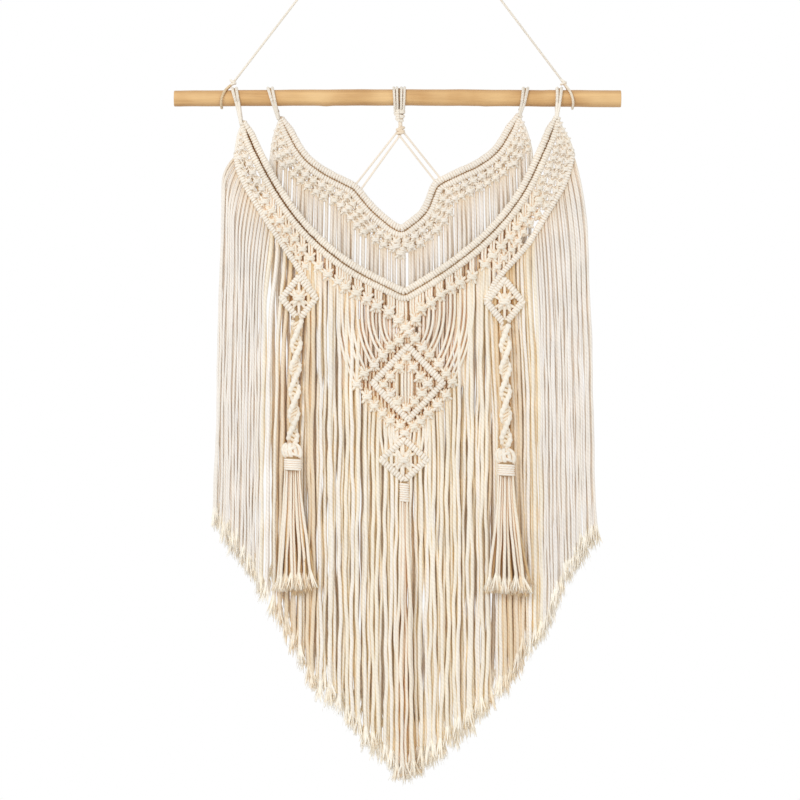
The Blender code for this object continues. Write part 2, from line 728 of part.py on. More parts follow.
def make_lower_panel(parts, holder, material):
    pieces = [panel_bars("lower_bars", LOWER_RUNS, LOWER_SECTION, LOWER_DEPTH, holder)]
    for name, rows in (("left", LEFT_NET_ROW), ("right", RIGHT_NET_ROW), ("left_second", LEFT_SECOND_ROW),
                       ("right_second", RIGHT_SECOND_ROW)):
        pieces.append(knot_row(name + "_net_row", rows, LOWER_DEPTH, holder))
    for name, rows in (("left", LEFT_OUTER_BAR), ("right", RIGHT_OUTER_BAR)):
        points = smooth_run(rows, RIDGE_STEP)
        section = round_section(OUTER_BAR, 5)
        sizes = ridge_sizes(len(points))
        pieces.append(bar_piece(name + "_outer_bar", points, section, sizes, LOWER_DEPTH, holder))
    for row in (CENTRE_DIAMOND, LOW_DIAMOND, LEFT_DIAMOND, RIGHT_DIAMOND):
        pieces.append(diamond(*row, holder))
    pieces += diamond_knots(holder)
    for index, (across, down, half_width, half_height) in enumerate(LONE_KNOTS):
        spot = (across, down, LOWER_DEPTH)
        pieces.append(ball(f"lone_knot_{index}", spot, (half_width, 4.4, half_height), holder))
    pieces += panel_loops("lower", holder)
    inner = bmesh.new()
    swoops(inner)
    lattice(inner)
    pieces.append(finish_piece("inner_strands", inner, holder))
    fringe = bmesh.new()
    side_fringe(fringe, LEFT_OUTER_BAR, LEFT_STRANDS, -206.0, -107.0, 100)
    side_fringe(fringe, RIGHT_OUTER_BAR, RIGHT_STRANDS, 220.0, 103.0, 200)
    roots = hanging_line()
    for number, (across, hem_across) in enumerate(MIDDLE_STRANDS):
        root = (across, interpolate(roots, across), LOWER_DEPTH + ROOT_INSET)
        hem = interpolate(HEM_ROWS, hem_across)
        hanging_strand(fringe, root, hem_across, hem, FRINGE_DEPTH, 300 + number)
    pieces.append(finish_piece("lower_fringe", fringe, holder))
    return fuse("lower_panel", pieces, parts, material)


def make_sinnet(name, top_across, bottom_across, top, bottom, half_turns, parts, holder, material):
    """A flat sinnet that twists as it goes down, ending in a berry knot."""
    steps = round(half_turns * SINNET_STEPS)
    mesh = bmesh.new()
    rings = []
    for index in range(steps + 1):
        share = index / steps
        turn = math.pi * half_turns * share
        size = 0.55 if index == 0 else 1.0
        ring = []
        for side, back in round_section(SINNET_HALF_WIDTH, 8, SINNET_HALF_DEPTH / SINNET_HALF_WIDTH):
            across = top_across + (bottom_across - top_across) * share
            turned = side * math.cos(turn) - back * math.sin(turn)
            behind = side * math.sin(turn) + back * math.cos(turn)
            down = top + (bottom - top) * share
            ring.append(place(across + turned * size, down, SINNET_DEPTH + behind * size))
        rings.append(ring)
    loft(mesh, rings)
    spiral = finish_piece(name + "_spiral", mesh, holder)
    berry_down = bottom + BERRY_HALF[2] - 2.0
    berry = ball(name + "_berry", (bottom_across, berry_down, TASSEL_DEPTH + 1.0), BERRY_HALF, holder)
    return fuse(name, [spiral, berry], parts, material)


def make_tassel(row, parts, holder, material):
    """A ridged wrap with the roots of the tassel's strands inside it."""
    name, across, top, width, height, hem_left, hem_right, hem, depth, layers = row
    wrap = bmesh.new()
    rings = []
    for index in range(WRAP_RINGS + 1):
        swell = 1.0 if index % 2 else 0.9
        rings.append([
            place(across + side * swell, top + height * index / WRAP_RINGS, depth + back * swell)
            for side, back in round_section(width / 2, 10, WRAP_FLAT)
        ])
    loft(wrap, rings)
    strands = bmesh.new()
    for layer, count in enumerate(layers):
        offset = depth + (layer - (len(layers) - 1) / 2) * TASSEL_LAYER_STEP
        for number in range(count):
            share = (number + 0.5) / count
            start = across + (share - 0.5) * (width - 3.0)
            end_across = hem_left + (hem_right - hem_left) * (share + 0.04 * (layer - 1))
            end_down = hem + 4.0 * math.sin(3.3 * number + layer)
            route = (
                (start, top + height - 4.0, offset),
                (start + 0.35 * (end_across - start), top + height + 0.4 * (end_down - top), offset),
                (end_across, end_down - FRAY_LENGTH, offset),
                (end_across, end_down, offset),
            )
            loft(strands, strand_rings(route, STRAND, (0.72, 1.0, 1.1, 1.5)))
    pieces = [finish_piece(name + "_wrap", wrap, holder), finish_piece(name + "_strands", strands, holder)]
    return fuse(name, pieces, parts, material)


def main():
    for old in list(bpy.data.objects):
        bpy.data.objects.remove(old)
    parts = new_collection("macrame_wall_hanging")
    holder = new_collection("helper_pieces")
    holder.hide_render = True
    cotton = new_material("cotton_cord", COTTON, 0.9)
    shaded = new_material("cotton_back_layer", SHADED_COTTON, 0.9)
    wood = new_material("natural_wood", WOOD, 0.5)
    make_rod(parts, wood)
    make_hanger(parts, holder, cotton)
    make_bridle(parts, holder, cotton)
    make_upper_panel(parts, holder, shaded)
    make_lower_panel(parts, holder, cotton)
    for row in SINNETS:
        make_sinnet(*row, parts, holder, cotton)
    for row in TASSELS:
        make_tassel(row, parts, holder, cotton)


main()
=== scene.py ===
"""Looks of the macrame wall hanging: every cord, hitch, knot and frayed end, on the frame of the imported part.

Tables are in millimetres, as in the part: "across" runs left to right, "down" runs from the rod's axis
towards the fringe, and "depth" is the distance behind the rod's axis, so smaller is nearer the viewer.
"""

import math

import bpy
import numpy as np
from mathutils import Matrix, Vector


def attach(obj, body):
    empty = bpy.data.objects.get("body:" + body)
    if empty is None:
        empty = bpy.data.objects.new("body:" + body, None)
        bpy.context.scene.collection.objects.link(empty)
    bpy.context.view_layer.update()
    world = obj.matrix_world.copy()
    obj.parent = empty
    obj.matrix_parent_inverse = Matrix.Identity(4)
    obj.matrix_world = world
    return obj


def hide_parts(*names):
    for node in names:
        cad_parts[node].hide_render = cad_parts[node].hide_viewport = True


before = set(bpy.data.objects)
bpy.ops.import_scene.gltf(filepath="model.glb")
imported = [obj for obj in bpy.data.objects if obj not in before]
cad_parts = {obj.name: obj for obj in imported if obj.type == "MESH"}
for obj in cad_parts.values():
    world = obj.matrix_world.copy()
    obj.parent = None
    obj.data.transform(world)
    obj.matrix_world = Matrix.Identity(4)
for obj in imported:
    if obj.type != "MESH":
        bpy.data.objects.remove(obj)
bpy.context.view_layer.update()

MM = 0.001
FULL_TURN = 2 * math.pi
rng = np.random.default_rng(31)

# Height of the frame's origin, where the hanging line bears on its nail, above the rod's axis
HANGER_HEIGHT = 256.5

# Depth of each layer
UPPER_DEPTH = 4.0
LOWER_DEPTH = -6.0
SINNET_DEPTH = -10.1
TASSEL_DEPTH = -12.5

# Rod: across, down, radius
ROD_ROWS = (
    (-253.0, 0.6, 8.9), (-200.0, 0.3, 9.0), (-120.0, -0.3, 9.1), (-40.0, -0.6, 9.2), (0.0, -0.6, 9.1),
    (70.0, -0.4, 9.3), (140.0, 0.2, 9.2), (205.0, 0.6, 9.5), (247.5, 0.9, 9.5),
)

# Line between the two hitched bars of each panel, as smooth runs: across, down
UPPER_RUNS = (
    ((-134, 22), (-113, 61), (-90, 82), (-52, 102)),
    ((-52, 102), (-33, 125), (-11, 144), (2, 151)),
    ((2, 151), (22, 136), (32, 124), (42, 98)),
    ((42, 98), (67, 86), (90, 75), (112, 57), (134, 19)),
)
LOWER_RUNS = (
    ((-176, 27), (-160, 64), (-134, 111), (-101, 153), (-56, 190), (5, 222)),
    ((5, 222), (56, 190), (101, 153), (136, 110), (161, 60), (176, 22)),
)
LEFT_OUTER_BAR = ((-184, 62), (-178, 87), (-160, 120), (-138, 154), (-116, 187), (-95, 221))
RIGHT_OUTER_BAR = ((194, 62), (183, 97), (165, 128), (142, 165), (113, 198), (95, 226))

# Rows of square knots in the lower panel: across, down
LEFT_NET_ROW = (
    (-181, 51), (-170, 83), (-149, 120), (-123, 152), (-103, 177), (-83, 196), (-50, 219), (-16, 242),
    (4, 256),
)
RIGHT_NET_ROW = (
    (5, 256), (16, 247), (36, 230), (57, 215), (80, 200), (107, 174), (123, 155), (151, 120), (172, 84),
    (187, 49),
)
LEFT_SECOND_ROW = ((-153, 126), (-138, 145), (-124, 166), (-104, 191))
RIGHT_SECOND_ROW = ((106, 192), (126, 168), (141, 145), (157, 128))

# Diamonds: across, down, half width, half height
CENTRE_DIAMOND = (9.0, 319.0, 39.0, 41.0)
LOW_DIAMOND = (4.5, 405.0, 25.5, 23.0)
LEFT_DIAMOND = (-113.0, 224.5, 19.0, 24.0)
RIGHT_DIAMOND = (117.0, 228.5, 20.0, 25.0)

# Strands drawn in from the lower V to the diamond: across at the start and end
LEFT_SWOOPS = ((-67, -50), (-56, -40), (-45, -29), (-33, -19), (-20, -11))
RIGHT_SWOOPS = ((80, 58), (70, 51.5), (59, 42.5), (47, 32.5), (35, 25))

# Knots down the outer edges of the nets: across, down
UPPER_EDGE_KNOTS = (
    (-135.5, 32), (-137.5, 40), (-139.5, 48), (-141, 56), (-132.5, 43), (-134, 51),
    (136, 30), (138, 37), (140.5, 44), (142.5, 51), (143.5, 58), (133.5, 41), (136, 49),
)
LOWER_EDGE_KNOTS = (
    (-176, 37), (-178, 44), (-179.5, 51), (-181, 58), (-174.5, 47), (-175.5, 55),
    (178.5, 31), (181, 37), (184, 43), (187, 49), (189.5, 56), (177, 42), (181, 49), (184, 56),
)

# Knots of the lower V and round and inside the centre diamond
V_KNOTS = (
    (-60.5, 211.5), (-49, 218.5), (-37, 225), (-26, 233), (-12, 239.5), (-2, 248.5), (5.5, 257),
    (17, 248.5), (24.5, 236.5), (34.5, 229.5), (46, 220.5), (57, 213), (67, 207), (80.5, 200.5),
)
OUTER_KNOTS = (
    (9, 262), (-1, 272), (-11, 279), (-19, 288), (-29, 299), (-40, 309), (-48, 320),
    (17, 270), (25, 280), (32.5, 288), (42.5, 299), (51.5, 309), (58, 317),
    (-37, 335), (-29, 345), (-20, 353), (-11, 361), (0, 367),
    (51.5, 333), (42.5, 343), (31, 353), (22.5, 362), (15, 368), (5.5, 375),
)
INNER_KNOTS = (
    (7, 291), (-1, 301), (14.5, 301), (-11, 311), (22.5, 312), (-19, 321.5), (31, 320),
    (-11, 331.5), (24.5, 331), (-3.5, 340.5), (17, 340.5), (7, 348),
)

# Lower edge of the whole fringe: across, down
HEM_ROWS = (
    (-209, 482), (-165, 542), (-121, 623), (-95, 667), (-69, 691), (-34, 725), (8, 760),
    (41, 741), (60, 720), (82, 710), (119, 663), (161, 602), (185, 541), (222, 492),
)

# Loops over the rod: across at the rod and at the panel, down at the panel
LOWER_LOOPS = ((-188.0, -177.4, 26.0), (-183.2, -177.0, 26.5), (176.0, 174.8, 20.0), (180.8, 175.6, 20.0))
UPPER_LOOPS = ((-147.8, -136.4, 19.0), (-143.0, -135.7, 19.5), (138.2, 133.6, 16.0), (143.0, 134.4, 16.0))

# Sinnets: across at the top and bottom, down at the top and bottom, half-turns
LEFT_SINNET = (-115.0, -120.0, 252.0, 387.0, 5.45)
RIGHT_SINNET = (117.5, 118.5, 257.0, 393.0, 5.45)

# Tassels: across, down at the top, wrap width, wrap height, hem left, hem right, hem down, depth
LEFT_TASSEL = (-119.8, 404.1, 20.0, 13.0, -143.0, -91.0, 551.0, TASSEL_DEPTH)
RIGHT_TASSEL = (118.6, 410.1, 19.5, 13.0, 94.0, 150.0, 554.0, TASSEL_DEPTH)
CENTRE_TASSEL = (4.8, 431.3, 11.4, 21.0, -9.0, 22.0, 762.0, -8.0)

# Cords down the outer edges of the panels: across, down
UPPER_EDGES = (
    ((-135, 25), (-140.5, 42), (-144, 62), (-145.5, 84), (-145, 108)),
    ((134, 22), (141, 36), (147, 58), (148, 80), (147, 104)),
)
UPPER_INNER_EDGES = (
    ((-137.5, 52), (-138.8, 74), (-139.4, 96), (-139.5, 116)), ((-133.0, 62), (-134.4, 82), (-135.2, 118)),
)
LOWER_EDGES = (((-176, 30), (-181, 43), (-184, 62)), ((176, 24), (182, 35), (189, 48), (194, 62)))

# Bridle: turns of its square knot, as down, half width and tilt, and the start and end of its lines
SQUARE_KNOT_TURNS = (
    (14.2, 5.0, 0.9), (16.9, 4.9, -0.8), (19.6, 4.4, 1.0), (22.3, 3.6, -0.9), (24.9, 2.8, 0.6),
)
BRIDLE_LINES = (
    ((-3.2, 38.0), (-51.0, 98.4)), ((1.5, 39.5), (-45.4, 104.4)),
    ((2.9, 37.0), (48.0, 93.2)), ((-2.2, 40.0), (41.4, 95.6)),
)

# Waves along the rod, as length, size and start, and its knots, as across, turn and size
ROD_WAVES = ((61.0, 0.10, 0.4), (27.0, 0.07, 2.0), (11.0, 0.03, 4.0))
ROD_KNOTS = ((-83.0, 3.6, 0.55), (-62.0, 4.6, 0.35), (96.0, 4.0, 0.5), (168.0, 5.2, 0.35))

# Hitched bars: they thin out over the taper at their ends, and a pair draws together over BAR_NARROWS there.
# A turn has HITCH_POINTS points, and leans along the bar by HITCH_LEAN of the pitch.
BAR_CORD, BAR_PITCH, BAR_TAPER, BAR_NARROWS = 1.75, 2.95, (20.0, 20.0), 19.0
HITCH_POINTS, HITCH_LEAN = 11, -0.12
LOOP_CORD = 1.7
MOST_NET_ROWS = 8
ARM_SHARE = 0.165  # the part of the V, at each end, with a net between it and the outer bar

# Points between two rows of a smooth run and along a strand, and the pieces of a frayed end
RUN_STEPS, STRAND_POINTS = 24, 60
FRAY_LOCKS, FRAY_FIBRES = 7, 16

# Nets: distances from the V's line to the upper net's top and bottom row, its backing and the strands' roots,
# and the spacings of the lower net's first and second row
UPPER_NET_TOP, UPPER_NET_BOTTOM, UPPER_BACKING, UPPER_ROOTS = 7.6, 25.5, 21.0, 21.5
FIRST_ROW_SPACING, SECOND_ROW_SPACING = 13.6, 12.4

# Middle of the fringe: across at the left end of its hem, and width
MIDDLE_LEFT, MIDDLE_WIDTH = -103, 207

# Stage, in metres: the sky's strength, each lamp's place, size and power in watts, and the camera
SKY_LIGHT = 0.92
LAMPS = (("key", (-1.5, -2.3, 0.9), 0.9, 28.0), ("fill", (1.8, -2.0, 0.0), 1.6, 4.0))
CAMERA_DISTANCE, CAMERA_HEIGHT, SEEN_WIDTH = 4.6, -0.5947, 0.896


# ---- lines

def unit(vectors):
    return vectors / np.maximum(np.linalg.norm(vectors, axis=-1, keepdims=True), 1e-9)


def lengths_along(points):
    return np.concatenate([[0.0], np.cumsum(np.linalg.norm(np.diff(points, axis=0), axis=1))])


def read_at(points, lengths, wanted):
    """The line's points at the wanted lengths along it."""
    return np.stack([np.interp(wanted, lengths, column) for column in points.T], axis=1)


def even_steps(points, step=None, count=None):
    """The same line with its points an even distance apart."""
    lengths = lengths_along(points)
    count = count or max(2, round(lengths[-1] / step) + 1)
    return read_at(points, lengths, np.linspace(0, lengths[-1], count))


def smooth_run(rows, step=None, count=None):
    """Points of a Catmull-Rom curve through the rows."""
    rows = np.array(rows, float)
    guides = np.concatenate([[2 * rows[0] - rows[1]], rows, [2 * rows[-1] - rows[-2]]])
    dense = [rows[:1]]
    for before, start, end, after in zip(guides, guides[1:], guides[2:], guides[3:]):
        t = np.linspace(0, 1, RUN_STEPS + 1)[1:, None]
        cubic = 3 * start - before - 3 * end + after
        square = 2 * before - 5 * start + 4 * end - after
        dense.append(start + 0.5 * ((end - before) * t + square * t**2 + cubic * t**3))
    return even_steps(np.concatenate(dense), step, count)


def joined_runs(runs, step):
    return even_steps(np.concatenate([smooth_run(rows, 1.0) for rows in runs]), step)


def eased(points, passes):
    """The line with its corners rounded by averaging neighbours."""
    for _ in range(passes):
        points = np.concatenate([points[:1], (points[:-2] + 2 * points[1:-1] + points[2:]) / 4, points[-1:]])
    return points


def beside(points, offset):
    """The line moved sideways, towards the fringe."""
    along = unit(np.gradient(points, axis=0))
    return points + np.stack([-along[:, 1], along[:, 0]], axis=1) * offset


def smooth_share(t):
    t = np.clip(t, 0.0, 1.0)
    return t * t * (3 - 2 * t)


def on_line(line, across):
    """How far down a line that runs from left to right is at this place."""
    return np.interp(across, line[:, 0], line[:, 1])


def down_at(rows, across):
    return on_line(np.array(sorted(rows), float), across)


def rod_at(across):
    table = np.array(ROD_ROWS)
    return on_line(table, across), on_line(table[:, ::2], across)


def at_depth(depth, *columns):
    return np.column_stack([*columns, np.full(len(columns[0]), depth)])


def in_metres(points):
    """Places given as across, down, depth, in the frame's own axes."""
    return np.stack([points[..., 0], points[..., 2], -HANGER_HEIGHT - points[..., 1]], axis=-1) * MM


def ring_of(across, down, depth, reach, thick, tilt, turn=0.0, points=17):
    """A closed turn of cord, tilted, and turned about the upright."""
    angle = np.linspace(0, FULL_TURN, points)
    along, through = reach * np.cos(angle), thick * np.sin(angle)
    return np.column_stack([
        across + along * math.cos(turn) - through * math.sin(turn),
        down + tilt * np.cos(angle),
        depth + along * math.sin(turn) + through * math.cos(turn),
    ])


def by_turn(t, turns, size):
    """Random values, one for each whole turn, read at the places t between them."""
    return np.interp(t, np.arange(turns + 1), rng.normal(0, size, turns + 1))


# ---- yarn

def mirrored(vectors, across):
    """The vectors mirrored in the planes that are square to the others."""
    size = np.maximum((across * across).sum(-1, keepdims=True), 1e-12)
    return vectors - 2 / size * (across * vectors).sum(-1, keepdims=True) * across


def carried_sides(lines):
    """Two directions square to each line, which turn as little as they can along it."""
    tangents = unit(np.gradient(lines, axis=1))
    first = tangents[:, 0]
    guide = np.where(np.abs(first[:, 2:3]) > 0.8, (1.0, 0.0, 0.0), (0.0, 0.0, 1.0))
    normals = [unit(np.cross(guide, first))]
    for i in range(lines.shape[1] - 1):
        step = lines[:, i + 1] - lines[:, i]
        bend = tangents[:, i + 1] - mirrored(tangents[:, i], step)
        normals.append(unit(mirrored(mirrored(normals[-1], step), bend)))
    normals = np.stack(normals, axis=1)
    return normals, np.cross(tangents, normals)


def starts_of(sizes):
    """Where each face's corners start in the list of all corners."""
    return np.concatenate([[0], np.cumsum(sizes)[:-1]])


def add_object(name, data):
    made = bpy.data.objects.new(name, data)
    bpy.context.scene.collection.objects.link(made)
    return made


class Yarn:
    """Cords gathered into one mesh, with the place along and around each cord, its tone and its painted shade.
    """

    def __init__(self):
        self.batches = []
        self.total = 0

    def put(self, points, corners, *others):
        self.batches.append((points, corners + self.total, *others))
        self.total += len(points)

    def joined(self):
        """Points, faces' corners, faces' sizes, UVs, tones and shades of all the cords."""
        return [np.concatenate(column) for column in zip(*self.batches)]

    def sweep(self, lines, radius, sides=7, tone=0.5, shade=0.0, lobes=0, lobe=0.0, pitch=9.0):
        """Tubes along lines of shape (cords, points, 3). A rope's lobes wind round once in each pitch."""
        lines = np.asarray(lines, float)
        lines = lines[None] if lines.ndim == 2 else lines
        cords, rings = lines.shape[:2]
        normals, binormals = carried_sides(lines)
        steps = np.linalg.norm(np.diff(lines, axis=1), axis=-1)
        along = np.concatenate([np.zeros((cords, 1)), np.cumsum(steps, axis=1)], axis=1)
        around = np.arange(sides) / sides * FULL_TURN
        radius = np.broadcast_to(np.asarray(radius, float), (cords, rings))[..., None]
        swell = radius * (1 + lobe * np.cos(lobes * around))
        turned = around + (FULL_TURN / pitch * along[..., None] if lobes else 0.0)
        points = (
            lines[:, :, None]
            + (swell * np.cos(turned))[..., None] * normals[:, :, None]
            + (swell * np.sin(turned))[..., None] * binormals[:, :, None]
        )
        index = np.arange(cords * rings * sides).reshape(cords, rings, sides)
        nxt = np.roll(index, -1, axis=2)
        quads = np.stack([index[:, :-1], nxt[:, :-1], nxt[:, 1:], index[:, 1:]], axis=-1).reshape(-1)
        caps = np.stack([index[:, 0, ::-1], index[:, -1]], axis=1).reshape(-1)
        u = np.broadcast_to(np.arange(sides) / sides, index.shape)
        v = np.broadcast_to(along[..., None], index.shape)
        low, high, start, end = u[:, 1:], u[:, 1:] + 1 / sides, v[:, :-1], v[:, 1:]
        quad_uv = np.stack([low, high, high, low], axis=-1), np.stack([start, start, end, end], axis=-1)
        uvs = np.concatenate([
            np.stack([part.reshape(-1) for part in pair], axis=-1)
            for pair in (quad_uv, (u[:, [0, -1]], v[:, [0, -1]]))
        ])
        sizes = np.concatenate([np.full(len(quads) // 4, 4), np.full(2 * cords, sides)])
        tones = np.broadcast_to(np.reshape(tone, (-1, 1, 1)), index.shape).reshape(-1)
        # shade: how far painted shade darkens the cord, for each cord or each point
        shade = np.asarray(shade, float)
        shade = shade.reshape(-1, 1, 1) if shade.ndim < 2 else shade[..., None]
        shades = np.broadcast_to(shade, index.shape).reshape(-1)
        self.put(points.reshape(-1, 3), np.concatenate([quads, caps]), sizes, uvs, tones, shades)

    def copies(self, knot, spots, scales, turns, flips, tones):
        """Copies of another yarn's cords at the spots, each scaled, turned in its plane or mirrored."""
        points, corners, sizes, uvs, _, shade = knot.joined()
        turned_over = np.concatenate([np.arange(s, s + n)[::-1] for s, n in zip(starts_of(sizes), sizes)])
        for spot, scale, turn, flip, tone in zip(spots, scales, turns, flips, tones):
            across, down, depth = points[:, 0] * flip * scale, points[:, 1] * scale, points[:, 2] * scale
            placed = np.stack([
                across * math.cos(turn) - down * math.sin(turn) + spot[0],
                across * math.sin(turn) + down * math.cos(turn) + spot[1],
                depth + spot[2],
            ], axis=1)
            order = turned_over if flip < 0 else np.arange(len(corners))
            self.put(placed, corners[order], sizes, uvs[order], np.full(len(points), tone), shade)

    def build(self, name, material, replaced=()):
        points, corners, sizes, uvs, tones, shades = self.joined()
        mesh = bpy.data.meshes.new(name)
        mesh.vertices.add(len(points))
        mesh.vertices.foreach_set("co", in_metres(points).astype(np.float32).reshape(-1))
        mesh.loops.add(len(corners))
        mesh.loops.foreach_set("vertex_index", corners.astype(np.int32))
        mesh.polygons.add(len(sizes))
        mesh.polygons.foreach_set("loop_start", starts_of(sizes).astype(np.int32))
        layer = mesh.uv_layers.new(name="strand")
        layer.uv.foreach_set("vector", uvs.astype(np.float32).reshape(-1))
        for attribute, values in (("tone", tones), ("shade", shades)):
            made = mesh.attributes.new(attribute, "FLOAT", "POINT")
            made.data.foreach_set("value", values.astype(np.float32))
        mesh.update(calc_edges=True)
        mesh.validate()
        mesh.shade_smooth()
        mesh.materials.append(material)
        piece = add_object(name, mesh)
        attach(piece, "root")
        if replaced:
            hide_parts(*replaced)


# ---- materials

class Nodes:
    """Shader nodes in one tree. An input takes a value or the socket that feeds it, and colours are RGB."""

    def __init__(self, tree):
        self.tree = tree

    def fill(self, made, inputs):
        for key, value in dict(inputs).items():
            socket = made.inputs[key]
            if isinstance(value, bpy.types.NodeSocket):
                self.tree.links.new(value, socket)
            else:
                socket.default_value = (*value, 1.0) if socket.type == "RGBA" else value
        return made

    def add(self, kind, inputs=(), **settings):
        made = self.tree.nodes.new("ShaderNode" + kind)
        for key, value in settings.items():
            setattr(made, key, value)
        return self.fill(made, inputs)

    def math(self, operation, *values):
        return self.add("Math", enumerate(values), operation=operation).outputs[0]

    def times(self, first, second):
        return self.math("MULTIPLY", first, second)

    def line(self, value, slope, start):
        return self.math("MULTIPLY_ADD", value, slope, start)

    def mix(self, factor, first, second, blend="MIX"):
        inputs = {0: factor, 6: first, 7: second}
        return self.add("Mix", inputs, data_type="RGBA", blend_type=blend, clamp_factor=True).outputs[2]

    def tinted(self, factor, colour, tint):
        """The colour, as far as the factor says multiplied by the tint."""
        return self.mix(factor, colour, self.mix(1.0, colour, tint, "MULTIPLY"))

    def dimmed(self, colour, strength):
        grey = self.add("CombineColor", {0: strength, 1: strength, 2: strength}).outputs[0]
        return self.mix(1.0, colour, grey, "MULTIPLY")

    def noise(self, place, scale, detail, **more):
        inputs = {"Vector": place, "Scale": scale, "Detail": detail, **more}
        return self.add("TexNoise", inputs).outputs["Fac"]

    def scaled(self, place, scale):
        return self.add("Mapping", {"Vector": place, "Scale": scale}).outputs[0]

    def ranged(self, value, low, high, first, last):
        return self.add("MapRange", {0: value, 1: low, 2: high, 3: first, 4: last}).outputs[0]


def new_material(name):
    material = bpy.data.materials.new(name)
    material.use_nodes = True
    return material, Nodes(material.node_tree), material.node_tree.nodes["Principled BSDF"]


# Tints of the painted shade: an ochre one for light shade and a dark brown one for the deepest
SHADE_DEEP = (0.27, 0.165, 0.065)
SHADE_OCHRE = (0.84, 0.66, 0.42)


def cotton_material(name, cream, pale, hollow_shade_tint, hollow_shade_strength, twist_pitch, plies, twist_bump):
    """Twisted cotton: tone from strand to strand, painted warm shade in the hollows, ply twist and loose
    fibres.
    """
    material, nodes, shader = new_material(name)
    tone, shade = (nodes.add("Attribute", attribute_name=kind).outputs["Fac"] for kind in ("tone", "shade"))
    uv = nodes.add("SeparateXYZ", {0: nodes.add("UVMap", uv_map="strand").outputs[0]})
    place = nodes.add("TexCoord").outputs["Object"]
    winding = nodes.times(uv.outputs[1], 1.0 / twist_pitch)
    phase = nodes.line(uv.outputs[0], float(plies), winding)
    wave = nodes.math("SINE", nodes.times(phase, FULL_TURN))
    groove = nodes.line(wave, 0.5, 0.5)
    stretched = nodes.scaled(place, (1500.0, 1500.0, 220.0))
    fibres = nodes.noise(stretched, 1.0, 3.0, Roughness=0.65, Distortion=0.6)
    patches = nodes.noise(place, 28.0, 2.0)
    uneven = nodes.line(patches, 0.24, 0.88)
    grain = nodes.line(fibres, 0.22, 0.89)
    # Painted shade: the twist's grooves a little darker
    groove_shade = nodes.line(groove, 0.075, 0.95)
    strength = nodes.times(nodes.times(uneven, grain), groove_shade)
    colour = nodes.dimmed(nodes.mix(tone, cream, pale), strength)
    # Painted shade: where ambient occlusion finds a hollow, the colour is tinted darker and warmer
    openness = nodes.add("AmbientOcclusion", {"Distance": 0.007}, samples=6).outputs["AO"]
    hollow_shade = nodes.ranged(openness, 0.12, 0.72, 1.0, 0.0)
    colour = nodes.tinted(nodes.times(hollow_shade, hollow_shade_strength), colour, hollow_shade_tint)
    # Painted shade from the shade attribute: first towards ochre, then towards dark brown
    colour = nodes.tinted(nodes.times(shade, 2.5), colour, SHADE_OCHRE)
    colour = nodes.tinted(nodes.line(shade, 1.4, -0.4), colour, SHADE_DEEP)
    height = nodes.line(fibres, 0.55, nodes.times(groove, twist_bump))
    bump = nodes.add("Bump", {"Height": height, "Strength": 0.7, "Distance": 0.0006})
    nodes.fill(shader, {
        "Base Color": colour, "Roughness": nodes.line(fibres, 0.16, 0.78),
        "Normal": bump.outputs[0], "Specular IOR Level": 0.25, "Sheen Weight": 0.25, "Sheen Roughness": 0.5,
    })
    return material


# Name, creamiest and palest strand, tint of the painted shade in the hollows and its strength, then the twist:
# pitch, plies, bump
COTTON, BAR_COTTON, UPPER_COTTON, MIDDLE_COTTON, SIDE_COTTON, FRAY = (cotton_material(*row) for row in (
    ("cotton_cord", (0.835, 0.765, 0.635), (0.86, 0.805, 0.725), (1.04, 0.70, 0.35), 0.78, 5.0, 2, 0.3),
    ("cotton_bar", (0.845, 0.775, 0.665), (0.865, 0.81, 0.73), (0.84, 0.70, 0.52), 0.66, 5.0, 2, 0.3),
    ("cotton_upper", (0.825, 0.755, 0.64), (0.845, 0.795, 0.73), (0.96, 0.80, 0.60), 0.7, 5.0, 2, 0.3),
    ("cotton_middle", (0.845, 0.772, 0.64), (0.87, 0.825, 0.775), (1.16, 1.0, 0.60), 0.85, 5.0, 2, 0.4),
    ("cotton_side", (0.80, 0.74, 0.655), (0.825, 0.785, 0.74), (1.05, 0.93, 0.77), 0.75, 5.0, 2, 0.3),
    ("cotton_fray", (0.96, 0.87, 0.70), (0.97, 0.94, 0.88), (1.1, 0.96, 0.76), 0.3, 9.0, 1, 0.1),
))


